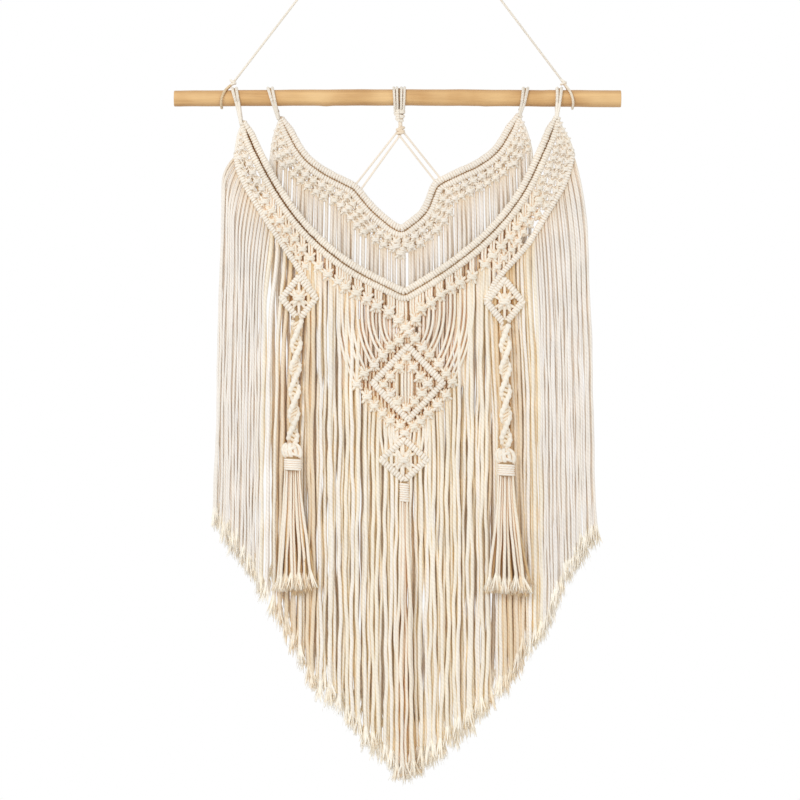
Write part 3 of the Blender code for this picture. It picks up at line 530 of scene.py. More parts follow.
def wood_material():
    """Pale peeled stick: long grain, soft darker streaks, painted shade making the top and underside browner,
    rings on the ends.
    """
    material, nodes, shader = new_material("natural_wood")
    place = nodes.add("TexCoord").outputs["Object"]
    streaks = nodes.noise(nodes.scaled(place, (9.0, 170.0, 170.0)), 1.0, 5.0, Distortion=0.5)
    grain = nodes.noise(nodes.scaled(place, (40.0, 1400.0, 1400.0)), 1.0, 3.0)
    patches = nodes.noise(place, 16.0, 3.0)
    ramp = nodes.add("ValToRGB", {"Fac": streaks})
    stops = ramp.color_ramp.elements
    stops[0].position, stops[0].color = 0.30, (0.50, 0.275, 0.10, 1.0)
    stops[1].position, stops[1].color = 0.72, (0.68, 0.42, 0.175, 1.0)
    colour = nodes.mix(nodes.ranged(patches, 0.35, 0.68, 0.0, 0.65), ramp.outputs[0], (0.80, 0.55, 0.27))
    colour = nodes.dimmed(colour, nodes.line(grain, 0.26, 0.87))
    normal = nodes.add("SeparateXYZ", {0: nodes.add("NewGeometry").outputs["True Normal"]}).outputs
    # Painted shade: faces that turn up or down are browner, shading the stick's top and underside
    rim_shade = nodes.ranged(nodes.math("ABSOLUTE", normal[2]), 0.45, 1.0, 0.0, 0.75)
    colour = nodes.tinted(rim_shade, colour, (0.62, 0.50, 0.38))
    end = nodes.math("GREATER_THAN", nodes.math("ABSOLUTE", normal[0]), 0.7)
    centred = nodes.add("Mapping", {"Vector": place, "Location": (0.0, 0.0, HANGER_HEIGHT * MM)}).outputs[0]
    rings = nodes.add(
        "TexWave", {"Vector": centred, "Scale": 190.0, "Distortion": 2.0, "Detail": 2.0},
        wave_type="RINGS", rings_direction="X",
    ).outputs["Fac"]
    colour = nodes.mix(end, colour, nodes.mix(rings, (0.70, 0.45, 0.22), (0.82, 0.60, 0.36)))
    bump = nodes.add("Bump", {"Height": grain, "Strength": 0.25, "Distance": 0.0004})
    nodes.fill(shader, {
        "Base Color": colour, "Roughness": nodes.line(grain, 0.2, 0.38),
        "Normal": bump.outputs[0],
    })
    return material


# ---- rod

def make_rod():
    """A peeled stick, a little uneven along its length, with softened sawn ends."""
    around = np.arange(48) / 48 * FULL_TURN
    left_end, right_end = (-253.0, -252.5, -251.8), (246.3, 247.0, 247.5)
    across = np.concatenate([left_end, np.linspace(-250, 244.5, 160), right_end])
    chamfer = np.ones(len(across))
    chamfer[[0, -1]], chamfer[[1, -2]] = 0.93, 0.98
    down, radius = rod_at(across)
    uneven = 0.0
    for wave, size, spot in ROD_WAVES:
        uneven = uneven + size * np.sin(across / wave * FULL_TURN + spot)[:, None] * np.cos(around - spot)
    for knot, turn, size in ROD_KNOTS:
        away_along = np.exp(-((across - knot) / 5.0) ** 2)[:, None]
        away_around = np.exp(-((np.cos((around - turn) / 2)) ** 2 - 1) ** 2 * 9)
        uneven = uneven + size * (away_along * away_around)
    reach = radius[:, None] * chamfer[:, None] + uneven
    points = np.stack([
        np.broadcast_to(across[:, None], reach.shape),
        down[:, None] - reach * np.cos(around),
        reach * np.sin(around),
    ], axis=-1)
    index = np.arange(reach.size).reshape(reach.shape)
    nxt = np.roll(index, -1, axis=1)
    quads = np.stack([index[:-1], index[1:], nxt[1:], nxt[:-1]], axis=-1).reshape(-1, 4).tolist()
    mesh = bpy.data.meshes.new("rod_stick")
    verts = in_metres(points).reshape(-1, 3).tolist()
    mesh.from_pydata(verts, [], quads + [index[0].tolist(), index[-1, ::-1].tolist()])
    mesh.validate()
    mesh.shade_smooth()
    mesh.set_sharp_from_angle(angle=math.radians(50))
    mesh.materials.append(wood_material())
    piece = add_object("rod_stick", mesh)
    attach(piece, "root")
    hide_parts("rod")


# ---- hitches and knots

def bar_line(line, offset, widening=0.0):
    """A line beside this one that comes in towards it at both ends, and widens away from the middle."""
    lengths = lengths_along(line)
    from_end = np.minimum(lengths, lengths[-1] - lengths)
    share = 0.4 + 0.6 * smooth_share(from_end / BAR_NARROWS)
    share = share * (1 + widening * np.clip(np.abs(line[:, 0]) / 110.0, 0, 1))
    return eased(beside(line, offset * share[:, None]), 2)


def hitched_bar(yarn, line, depth, half_width, half_depth, cord, pitch, taper=(0.0, 0.0)):
    """Half-hitches side by side round a core: one cord wound along the line, uneven from turn to turn."""
    lengths = lengths_along(line)
    turns = max(2, round(lengths[-1] / pitch))
    t = np.arange(turns * HITCH_POINTS + 1) / HITCH_POINTS
    s = t / turns * lengths[-1]
    centre = read_at(line, lengths, s)
    along = unit(read_at(unit(np.gradient(eased(line, 3), axis=0)), lengths, s))
    uneven = by_turn(t, turns, 0.05)
    size = 1.0 + uneven
    for taper_length, distance in zip(taper, (s, lengths[-1] - s)):
        if taper_length:
            size = size * (0.45 + 0.55 * smooth_share(distance / taper_length))
    angle = FULL_TURN * t
    side = (half_width - cord) * size * np.cos(angle)
    shift = HITCH_LEAN * pitch * np.cos(angle) + by_turn(t, turns, 0.12)
    points = np.stack([
        centre[:, 0] - along[:, 1] * side + along[:, 0] * shift,
        centre[:, 1] + along[:, 0] * side + along[:, 1] * shift,
        depth + (half_depth - cord) * size * np.sin(angle),
    ], axis=1)
    yarn.sweep(points, cord * (1 + 0.5 * uneven), sides=6, tone=rng.uniform(0.2, 0.6))
    # The core, darkened with painted shade where it shows between the turns
    core = at_depth(depth, centre[::HITCH_POINTS])
    yarn.sweep(core, (half_depth - 0.75 * cord) * size[::HITCH_POINTS], sides=8, shade=0.3)


def paired_bars(yarn, line, depth, bars, widening=0.0):
    """Hitched bars beside a line, each given as its offset, half width and half depth."""
    for offset, half_width, half_depth in bars:
        rows = bar_line(line, offset, widening)
        hitched_bar(yarn, rows, depth, half_width, half_depth, BAR_CORD, BAR_PITCH, BAR_TAPER)


def square_knot():
    """A square knot about its middle: two cords over it, one at each side, four going up and four down."""
    cords = [
        (1.8, (
            (-3.6, -1.2, 0.0), (-2.5, -1.2, -3.0), (0.0, -0.9, -4.7), (2.5, -1.4, -3.0), (3.4, -1.6, 0.0),
        )),
        (1.8, (
            (3.6, 1.2, 0.0), (2.5, 1.2, -3.1), (0.0, 0.9, -4.8), (-2.5, 1.4, -3.0), (-3.4, 1.6, 0.0),
        )),
        (1.4, ((3.0, -2.0, -0.6), (4.1, -0.2, -2.0), (3.2, 1.9, -0.8))),
        (1.4, ((-3.0, -1.9, -0.6), (-4.1, 0.2, -2.0), (-3.0, 2.0, -0.6))),
    ]
    for radius, rows in (
        (1.6, ((0.8, 1.0, -1.8), (2.9, 3.3, -2.0), (5.2, 5.8, 0.3))),
        (1.4, ((0.9, 0.0, -0.6), (1.1, 3.6, -0.5), (1.5, 6.6, 0.6))),
    ):
        for below in (-1, 1):
            for side in (-1, 1):
                cords.append((radius, [(side * across, below * down, depth) for across, down, depth in rows]))
    knot = Yarn()
    for radius, rows in cords:
        knot.sweep(smooth_run(rows, count=2 * len(rows) - 1), radius, sides=6)
    return knot


KNOT = square_knot()


def tie_knots(yarn, spots, scale=1.0, turn=0.14):
    """Square knots at the spots, no two quite alike."""
    spots = np.asarray(spots, float)
    count = len(spots)
    yarn.copies(
        KNOT, spots + np.column_stack([rng.normal(0, 0.35, (count, 2)), rng.normal(0, 0.2, count)]),
        scale * rng.uniform(0.93, 1.07, count), rng.normal(0, turn, count), rng.choice((-1.0, 1.0), count),
        rng.uniform(0.15, 0.6, count),
    )


def spots_along(line, spacing, depth):
    """Places an even distance apart along a line, the first 0.3 of the spacing from its end."""
    lengths = lengths_along(line)
    return at_depth(depth, read_at(line, lengths, np.arange(0.3 * spacing, lengths[-1], spacing)))


def fill_net(yarn, upper, lower, pitch, row_pitch, depth, scale):
    """Rows of square knots between two lines, staggered from row to row."""
    columns = round(lengths_along((upper + lower) / 2)[-1] / pitch)
    spots = []
    for column in range(columns):
        for row in range(MOST_NET_ROWS):
            share = (column + 0.4 + 0.5 * (row % 2)) / columns * (len(upper) - 1)
            index = min(int(share), len(upper) - 2)
            near, far = (
                line[index] + (line[index + 1] - line[index]) * (share - index) for line in (upper, lower)
            )
            rows = max(1, round(math.dist(near, far) / row_pitch))
            if row < rows and share <= len(upper) - 1:
                spots.append((*(near + (far - near) * (row + 0.5) / rows), depth))
    tie_knots(yarn, spots, scale)


# ---- strands

def sway(down, count, size):
    """Slow and quick sideways waves of a loose strand."""
    total = 0.0
    for wave, share in ((230.0, 1.0), (92.0, 0.55), (41.0, 0.22)):
        length = rng.uniform(0.8, 1.25, (count, 1)) * wave
        total = total + share * np.sin(down / length * FULL_TURN + rng.uniform(0, FULL_TURN, (count, 1)))
    return size * total


def hang(yarn, frays, roots, hem_across, hem_down, layer, radius, wave, tone, shade=0.0, settle=60.0,
         early=0.85, quick=False, fray=25.0, ragged=1.0, fibres=FRAY_FIBRES, flare=3.0, slim=1.0,
         root_shade=0.28, far_shade=0.0, sides=7):
    """Loose strands from their roots to the hem, each ending in a frayed brush.

    A strand makes the share "early" of its way sideways while it falls by "settle", and starts on it at once
    if it is "quick". At its root it is "slim" of its radius. Painted shade darkens it by "root_shade" just
    under its root and by "far_shade" far down.
    """
    count = len(roots)
    root_across, root_down, root_depth = roots.T[..., None]
    hem_across, end, layer, settle, shade = (
        np.broadcast_to(np.asarray(value, float), (count,))[:, None]
        for value in (hem_across, hem_down, layer, settle, shade)
    )
    t = np.linspace(0, 1, STRAND_POINTS)[None]
    down = root_down + (end - root_down) * t
    fallen = down - root_down
    settled = np.clip(fallen / settle, 0.0, 1.0)
    moved = early * (settled * (2 - settled) if quick else smooth_share(settled)) + (1 - early) * t
    grown = np.clip(fallen / 120.0, 0.0, 1.0)
    across = root_across + (hem_across - root_across) * moved + grown * sway(down, count, wave)
    depth = root_depth + (layer - root_depth) * smooth_share(fallen / 40.0) + grown * sway(down, count, 0.35)
    lines = np.stack([across, down, depth], axis=-1)
    uneven = 1 + 0.05 * np.sin(down / 17.0 + rng.uniform(0, 6.3, (count, 1))) + 0.03 * np.sin(down / 5.3)
    ending = 1 - 0.9 * smooth_share(1.2 - (end - down) / (0.7 * fray))
    radii = radius * uneven * np.maximum(ending, 0.12) * rng.uniform(0.92, 1.08, (count, 1))
    radii = radii * (slim + (1 - slim) * smooth_share(fallen / 50.0))
    tones = rng.uniform(*tone, count)
    # Painted shade: darker just under the root and far down, on top of the strand's own shade
    under = shade + root_shade * np.exp(-fallen / 16.0) + far_shade * smooth_share((down - 190.0) / 120.0)
    yarn.sweep(lines, radii, sides=sides, tone=tones, shade=under)
    fray_out(frays, lines, radius, fray, ragged, fibres, flare, tones, shade)


def fray_out(frays, lines, radius, fray, ragged, loose, flare, tones, shades):
    """The strands' ends opened to soft brushes: a few tapering locks in each, and loose fibres round them."""
    count = len(lines)
    lengths = np.linalg.norm(lines[:, -1] - lines[:, -2], axis=-1)
    back = max(1, round(fray / float(lengths.mean())))
    top, tip = lines[:, -1 - back], lines[:, -1]
    lean = rng.normal(0, 1.6, (count, 1, 1))
    fallen = (tip - top) / np.maximum(tip - top, 1e-6)[:, 1:2] * fray
    for number, sides, inset, thick in (
        (FRAY_LOCKS, 5, 0.45, np.array((0.62, 0.60, 0.55, 0.50, 0.44, 0.34, 0.12)) * radius),
        (loose, 3, 0.8, np.array((0.34, 0.36, 0.34, 0.26, 0.10))),
    ):
        shape = (count, number, 1)
        s = np.linspace(0, 1, len(thick))[None, None]
        turn = rng.uniform(0, FULL_TURN, shape)
        out = np.sqrt(rng.uniform(0.05, 1, shape)) * radius * inset
        spread = out + rng.uniform(0.3, 1.0, shape) * flare * radius * s**1.3
        length = 1 + ragged * rng.uniform(-0.32, 0.12, shape)
        curl = rng.normal(0, 0.5 * ragged, shape) * np.sin(s * 4.0 + turn) * s
        across = top[:, None, :1] + fallen[:, None, :1] * s + spread * np.cos(turn) + curl + lean * s**1.6
        depth = top[:, None, 2:] + fallen[:, None, 2:] * s + 0.7 * spread * np.sin(turn)
        down = top[:, None, 1:2] + fallen[:, None, 1:2] * length * s
        fibres = np.stack([across, down, depth], axis=-1).reshape(-1, len(thick), 3)
        tone = np.repeat(tones, number) * 0.4 + rng.uniform(0, 0.6, len(fibres))
        # The fibres carry half of the strand's painted shade
        frays.sweep(fibres, np.broadcast_to(thick, (len(fibres), len(thick))), sides=sides, tone=tone,
                    shade=np.repeat(shades, number) * 0.5)


def hem_at(across, spread):
    """The hem's place below each strand, some of them shorter and a few a little longer."""
    return down_at(HEM_ROWS, across) + spread * np.clip(rng.normal(0, 1, np.shape(across)), -1.8, 0.7) - 1.5


def cord_between(yarn, rows, radius, step=4.0, sides=7, tone=None, shade=0.0):
    line = smooth_run(rows, step)
    yarn.sweep(line, radius, sides=sides, tone=rng.uniform(0.1, 0.7) if tone is None else tone, shade=shade)


def upright(yarn, acrosses, top, bottom, depths, radius, step, sides=6, **looks):
    """A short cord through three places: one at its top, one half way down and one at its bottom."""
    rows = list(zip(acrosses, (top, (top + bottom) / 2, bottom), depths))
    cord_between(yarn, rows, radius, step, sides, **looks)


def edge_cords(yarn, edges, depth):
    """Two cords side by side down each outer edge of a panel."""
    for rows in edges:
        for apart in (0.0, 3.2):
            cord_between(yarn, [(x - math.copysign(apart, x), y + apart, depth) for x, y in rows], 1.6, 3.0)


def rope(yarn, rows, radius, shade=0.0):
    """A cord whose three plies show a little."""
    yarn.sweep(smooth_run(rows, 1.5), radius, sides=12, tone=0.3, shade=shade, lobes=3, lobe=0.04)


def rod_turn(across_rod, across_end, down_end, depth_end, cord, reach=125):
    """A cord over the rod whose legs come down in front of it and behind it to one place."""
    rod_down, rod_radius = rod_at(across_rod)
    away = rod_radius + cord + 0.35
    rows = [(across_end - 0.3, down_end + 1.0, depth_end - 1.0)]
    for angle in np.radians(np.linspace(-reach, reach, 15)):
        lean = (1 - math.cos(angle)) / 2
        rows.append((
            across_rod + 0.6 * lean * (across_end - across_rod),
            rod_down - away * math.cos(angle),
            away * math.sin(angle),
        ))
    return (*rows, (across_end + 0.3, down_end, depth_end + 1.4))


def corner_loops(yarn, loops, depth):
    """The loops that hold a panel's corners to the rod, and a cord darkened with painted shade in the gap
    between each two.
    """
    for across_rod, across_end, down_end in loops:
        rope(yarn, rod_turn(across_rod, across_end, down_end + 3, depth, LOOP_CORD), LOOP_CORD)
    for (first, _, down_end), (second, across_end, _) in (loops[:2], loops[2:]):
        rows = rod_turn((first + second) / 2, across_end - 0.6, down_end - 4, depth, 1.0)
        yarn.sweep(smooth_run(rows, 2.0), 1.0, sides=6, shade=0.7)


# ---- upper panel

def make_upper_panel():
    line = joined_runs(UPPER_RUNS, 2.0)
    bars = Yarn()
    paired_bars(bars, eased(line, 3), UPPER_DEPTH, ((-4.2, 4.2, 4.0), (4.0, 4.0, 3.6)))
    # A dark cord with painted shade behind the gap between the two bars
    bars.sweep(at_depth(UPPER_DEPTH + 1.6, line)[4:-4], 1.7, sides=6, shade=0.7)
    corner_loops(bars, UPPER_LOOPS, UPPER_DEPTH)
    bars.build("upper_bars", UPPER_COTTON, ["upper_panel"])

    knots = Yarn()
    smooth = eased(line, 12)
    count = len(smooth)
    near = even_steps(eased(beside(smooth, UPPER_NET_TOP), 4)[10:-10], count=count)
    far = even_steps(eased(beside(smooth, UPPER_NET_BOTTOM), 8)[17:-17], count=count)
    fill_net(knots, near, far, 10.6, 8.8, UPPER_DEPTH - 0.3, 0.86)
    tie_knots(knots, [(1.0, 174.0, 3.2), (-4.0, 166.0, 3.4), (7.0, 165.0, 3.4)])
    tie_knots(knots, at_depth(UPPER_DEPTH - 0.2, UPPER_EDGE_KNOTS), 0.62)
    backing, inner = (
        rows[np.argsort(rows[:, 0])] for rows in (eased(beside(smooth, UPPER_BACKING), 8), eased(line, 4))
    )
    # Backing cords behind the net, darkened with painted shade
    for across in np.arange(-128, 132, 5.2):
        top, bottom = on_line(inner, across) + 5, on_line(backing, across)
        upright(knots, (across,) * 3, top, bottom, (6.0, 6.2, 6.0), 1.6, 6.0, shade=0.25)
    edge_cords(knots, UPPER_EDGES, UPPER_DEPTH)
    # Inner edge cords, lightly darkened with painted shade
    for rows in UPPER_INNER_EDGES:
        cord_between(knots, at_depth(UPPER_DEPTH + 2.4, rows), 1.7, 3.0, shade=0.15)
    knots.build("upper_knots", UPPER_COTTON)

    strands, frays = Yarn(), Yarn()
    edge = eased(beside(smooth, UPPER_ROOTS), 6)[6:-6]
    edge = edge[np.argsort(edge[:, 0])]
    for count, layer, rise in ((56, 3.0, 24), (50, 7.2, 40)):
        across = np.linspace(-142, 146, count) + rng.normal(0, 0.8, count)
        root_across = np.clip(0.985 * across, edge[0, 0], edge[-1, 0])
        roots = at_depth(UPPER_DEPTH, root_across, on_line(edge, root_across))
        # Far down, these strands carry painted shade, where they hang behind the lower panel
        hang(strands, frays, roots, across, hem_at(across, 9.0) - rise, layer, 1.75, wave=0.8,
             tone=(0.2, 1.0), fibres=7, far_shade=0.15, sides=6)
    strands.build("upper_strands", SIDE_COTTON)
    frays.build("upper_frays", FRAY)


# ---- lower panel

def diamond_bars(yarn, row, depth, half_width, cord, pitch):
    """Four hitched bars round a diamond, the lower two running past each other at the bottom."""
    across, down, reach, height = row
    top, left, bottom, right = np.array([
        (across, down - height), (across - reach, down), (across, down + height), (across + reach, down),
    ])
    for start, end, over in (
        (top, left, 0.0), (top, right, -0.8), (left, bottom, -0.8), (right, bottom, 0.0),
    ):
        push = unit(end - start)
        line = even_steps(np.array([start - 2.0 * push, end + 2.0 * push]), 2.0)
        hitched_bar(yarn, line, depth + over, half_width, half_width * 0.95, cord, pitch, (4.0, 4.0))


def radiating_knot(yarn, across, down, reach, height, scale):
    """A knot in a diamond's middle, with its cords spreading to the diamond's sides."""
    tie_knots(yarn, [(across, down, LOWER_DEPTH - 1.5)], scale, turn=0.02)
    for angle in np.radians((-150, -122, -90, -58, -30, 30, 58, 90, 122, 150)):
        x, y = math.cos(angle), math.sin(angle)
        edge = 1.0 / (abs(x) / reach + abs(y) / height)
        rows = [
            (across + out * x, down + out * y, LOWER_DEPTH + depth)
            for out, depth in ((2.5, -1.2), (0.55 * edge, -1.6), (0.96 * edge, 0.6))
        ]
        cord_between(yarn, rows, 1.8, 2.5)


def hanging_line():
    """Line that the middle strands hang from: the net rows, and between them the knots below the diamond."""
    across, down, half_width, half_height = CENTRE_DIAMOND
    left, right = (
        sorted((
            (across + side * (half_width + 11.475), down + 2.125),
            (across + side * (0.5 * half_width + 6.375), down + (0.5 * half_height + 5.95)),
            (across + side * 6.375, down + (half_height + 7.225)),
        ))
        for side in (-1, 1)
    )
    first, last = left[0][0] - 6, right[-1][0] + 6
    return (
        *(row for row in LEFT_NET_ROW if row[0] < first), (first, down_at(LEFT_NET_ROW, first)), *left,
        *right, (last, down_at(RIGHT_NET_ROW, last)), *(row for row in RIGHT_NET_ROW if row[0] > last),
    )


def make_lower_bars(line):
    """The hitched bars of the V and the diamonds, and the loops that hold the panel to the rod."""
    bars = Yarn()
    widening = np.where(line[:, 0] < 0, 0.09, 0.03)
    paired_bars(bars, eased(line, 2), LOWER_DEPTH, ((-4.15, 4.2, 4.1), (4.0, 4.1, 3.8)), widening)
    # A dark cord with painted shade in the gap between the two bars, darkest out on the left arm
    between = at_depth(LOWER_DEPTH + 1.6, line)[4:-4]
    darker = np.where(between[:, 0] < 0, -between[:, 0] / 200.0, between[:, 0] / 450.0)
    bars.sweep(between, 1.8, sides=6, shade=np.clip(0.5 + darker, 0.0, 1.0)[None])
    for rows in (LEFT_OUTER_BAR, RIGHT_OUTER_BAR):
        hitched_bar(bars, smooth_run(rows, 2.0), LOWER_DEPTH, 3.9, 3.7, BAR_CORD, 3.0, (8, 4))
    for row, half_width, cord, pitch in (
        (CENTRE_DIAMOND, 4.4, 2.0, 3.4), (LOW_DIAMOND, 4.2, 1.95, 3.35),
        (LEFT_DIAMOND, 4.3, 1.95, 3.35), (RIGHT_DIAMOND, 4.3, 1.95, 3.35),
    ):
        diamond_bars(bars, row, LOWER_DEPTH - 0.8, half_width, cord, pitch)
    corner_loops(bars, LOWER_LOOPS, LOWER_DEPTH)
    bars.build("lower_bars", BAR_COTTON, ["lower_panel"])


def make_lower_knots(line):
    """Knots of the nets, the V and the diamonds. Returns the places of those in the nets' own rows."""
    knots = Yarn()
    chains = np.concatenate([
        spots_along(smooth_run(rows, 1.0), FIRST_ROW_SPACING, LOWER_DEPTH + 0.4)
        for rows in (LEFT_NET_ROW, RIGHT_NET_ROW[::-1])
    ])
    clear = (V_KNOTS[0][0] - 8, V_KNOTS[-1][0] + 8)
    chains = [tuple(spot) for spot in chains if abs(spot[0]) < 157 and not clear[0] < spot[0] < clear[1]]
    tie_knots(knots, chains, 1.06)
    left_chain, right_chain = (sorted(spot[:2] for spot in chains if side * spot[0] > 0) for side in (-1, 1))
    for row in (V_KNOTS, left_chain, right_chain):
        for (x, y), (further, lower) in zip(row, row[1:]):
            rows = [(x + share * (further - x), y + share * (lower - y) + 1.2, LOWER_DEPTH - 0.6 - bow)
                    for share, bow in ((0.15, 0.8), (0.5, 0.2), (0.85, 0.8))]
            cord_between(knots, rows, 1.5, 3.0)
    for rows, raised, scale in ((V_KNOTS, 0.6, 1.12), (OUTER_KNOTS, 0.9, 1.04), (INNER_KNOTS, 0.6, 1.06)):
        tie_knots(knots, at_depth(LOWER_DEPTH - raised, rows), scale)
    for rows in (LEFT_SECOND_ROW, RIGHT_SECOND_ROW):
        spots = spots_along(smooth_run(rows, 2.0), SECOND_ROW_SPACING, LOWER_DEPTH + 0.7)
        tie_knots(knots, spots, 0.88)

    arms = Yarn()
    under = eased(beside(eased(line, 4), 8.6), 4)[3:-3]
    arm = round(ARM_SHARE * len(under))
    for near, rows in ((under[7:arm], LEFT_OUTER_BAR[:3]), (under[::-1][7:arm], RIGHT_OUTER_BAR[:3])):
        near, far = even_steps(near, count=120), smooth_run(rows, count=120)
        fill_net(arms, near, far, 9.6, 8.6, LOWER_DEPTH + 0.2, 0.8)
        # Backing cords behind the net, darkened with painted shade
        for share, dark in ((0.86, 0.65), (0.45, 0.35)):
            arms.sweep(at_depth(LOWER_DEPTH + 2.4, near + (far - near) * share)[6:], 1.7, sides=6, shade=dark)
    tie_knots(arms, at_depth(LOWER_DEPTH + 0.1, LOWER_EDGE_KNOTS), 0.6)
    edge_cords(arms, LOWER_EDGES, LOWER_DEPTH)
    arms.build("lower_arm_knots", UPPER_COTTON)
    for (across, down, reach, height), aside, scale in (
        (LEFT_DIAMOND, 0, 1.3), (RIGHT_DIAMOND, 0, 1.3), (LOW_DIAMOND, -1, 1.2),
    ):
        radiating_knot(knots, across + aside, down, reach, height, scale)
    knots.build("lower_knots", COTTON)
    return chains


def make_lower_lattice(chains):
    """The cords that are seen between the bars and the knots, and the ones behind them, darkened with painted
    shade.
    """
    lattice = Yarn()
    bars_line = joined_runs(LOWER_RUNS, 1.0)
    net = np.concatenate([smooth_run(LEFT_NET_ROW, 1.0), smooth_run(RIGHT_NET_ROW, 1.0)])
    outer = np.concatenate([smooth_run(LEFT_OUTER_BAR, 1.0), smooth_run(RIGHT_OUTER_BAR, 1.0)[::-1]])
    outer = outer[np.argsort(outer[:, 0])]

    # Between the V's bars and the row of knots below it
    for across, down in (*V_KNOTS, *(spot[:2] for spot in chains if abs(spot[0]) > 60)):
        side = -1.0 if across < 5 else 1.0
        for apart in (0.9, -2.1, -5.0) if abs(across) < 80 else (1.2, -2.0):
            here = across + side * apart
            spots = (here, here + rng.normal(0, 0.3), here + 0.3 * (across - here))
            upright(lattice, spots, on_line(bars_line, here) + 6, down, (-5.6, -5.9, -5.6), 1.65, 4.0)
    # Behind them, cords darkened with painted shade
    for across in np.arange(-128, 128, 4.4):
        top, bottom = on_line(bars_line, across) + 6, on_line(outer if abs(across) > 95 else net, across)
        upright(lattice, (across,) * 3, top, bottom, (-1.8, -2.1, -1.8), 1.9, 6.0, shade=0.22)

    # Between the nets and the outer bars
    for across in (*np.arange(-134, -90, 5.6), *np.arange(94, 136, 5.6)):
        top, bottom = on_line(net, across) + 3, on_line(outer, across)
        spots = (across, across + rng.normal(0, 0.5), across)
        if bottom > top + 6:
            depths = (LOWER_DEPTH, LOWER_DEPTH + 0.2, LOWER_DEPTH + 1.0)
            upright(lattice, spots, top, bottom, depths, 1.9, 5.0)

    # Inside the diamonds
    for across, down, reach, height in (LOW_DIAMOND, LEFT_DIAMOND, RIGHT_DIAMOND):
        for apart in np.arange(-reach + 4, reach - 2, 4.2):
            drop = height * (1 - abs(apart) / reach) + 3
            # Cords filling the small diamonds, darkened with painted shade
            rows = [(across + apart, down + share * drop, -1.9) for share in (-1, 0, 1)]
            cord_between(lattice, rows, 2.3, 4.0, 6, shade=0.4)
    across, down, half_width, half_height = CENTRE_DIAMOND
    for apart in (-12.2, -5.9, -2.7, 0.6, 3.8):
        rows = ((across + apart, down - half_height + 16, -5.6), (across + 1.1 * apart, down, -5.8),
                (across + apart, down + half_height - 16, -5.6))
        cord_between(lattice, rows, 1.6, 5.0)
    # A dark cord with painted shade, where the diamond's inside looks deepest
    slot = ((across - 9.0, down - 12.0, -4.4), (across - 9.2, down, -4.6), (across - 9.0, down + 13.0, -4.4))
    cord_between(lattice, slot, 1.7, 4.0, 6, shade=0.85)

    # Round the centre diamond, in front and behind, darkened with painted shade, more behind
    above, below = (
        np.array(sorted(rows)) for rows in (OUTER_KNOTS[:13], OUTER_KNOTS[13:] + OUTER_KNOTS[6:13:6])
    )
    for here in np.arange(-47, 58, 4.4):
        height = half_height * max(0.0, 1 - abs(here - across) / half_width)
        top, bottom = on_line(above, here), on_line(below, here)
        upper, lower = down - height, down + height
        for start, end in ((top + 2, upper), (lower, bottom - 2), (upper, lower)):
            if end > start + 5:
                spots = (here, here + rng.normal(0, 0.4), here)
                upright(lattice, spots, start, end, (-4.6, -4.9, -4.6), 1.55, 5.0, shade=0.1)
    for here in np.arange(-50, 62, 3.9):
        top, bottom = on_line(above, here), on_line(below, here)
        rows = ((here, top - 3, -1.6), (here, (top + bottom) / 2, -1.6), (here, bottom + 3, -1.6))
        cord_between(lattice, rows, 2.1, 6.0, 6, shade=0.25)

    # From the V in to the centre diamond
    ends = np.array(sorted(OUTER_KNOTS[1:13]))
    for rows, net_row in ((LEFT_SWOOPS, LEFT_NET_ROW), (RIGHT_SWOOPS, RIGHT_NET_ROW)):
        for start, end in rows:
            for apart in (-2.6, 2.3):
                start_down = down_at(net_row, start + apart)
                end_down = on_line(ends, end + 0.7 * apart) - 2.0
                drawn_in = end - 0.3 * apart - start
                cord_between(lattice, [
                    (start + apart + drawn_in * max(0.0, (share - 0.25) / 0.75) ** 2.1,
                     start_down + share * (end_down - start_down),
                     LOWER_DEPTH - 1.6 * math.sin(math.pi * share))
                    for share in (0.0, 0.15, 0.3, 0.5, 0.7, 0.85, 1.0)
                ], 1.6, 4.0)
    over = np.array(sorted(V_KNOTS))
    for here in np.arange(-64, 80, 5.3):
        top, bottom = on_line(over, here), on_line(ends, here) + 6
        if bottom > top + 12:
            spots = (here, here + rng.normal(0, 1.0), here + rng.normal(0, 0.6))
            upright(lattice, spots, top, bottom, (-3.4, -3.9, -3.0), 2.0, 6.0, tone=1.0)

    # From the centre diamond down to the low one
    across, down, half_width, half_height = LOW_DIAMOND
    below = np.array(sorted(OUTER_KNOTS[13:]))
    for start in (-22, -17, -12, -7, -2.5, 11.5, 16, 21, 26, 31):
        end = across + (start - across) * 0.86
        bottom = down - half_height * (1 - min(1.0, abs(end - across) / half_width)) - 2
        depths = (-6.2, -6.8, -6.0)
        upright(lattice, (start, start, end), on_line(below, start), bottom, depths, 1.7, 4.0, sides=7)
    lattice.build("lower_lattice", COTTON)


def make_lower_knotwork():
    line = joined_runs(LOWER_RUNS, 2.0)
    make_lower_bars(line)
    make_lower_lattice(make_lower_knots(line))


def near_sinnet(across, end):
    """Distance to the nearer sinnet, from its top where end is 0 and from its bottom where it is 1."""
    return np.minimum(abs(across - LEFT_SINNET[end]), abs(across - RIGHT_SINNET[end]))


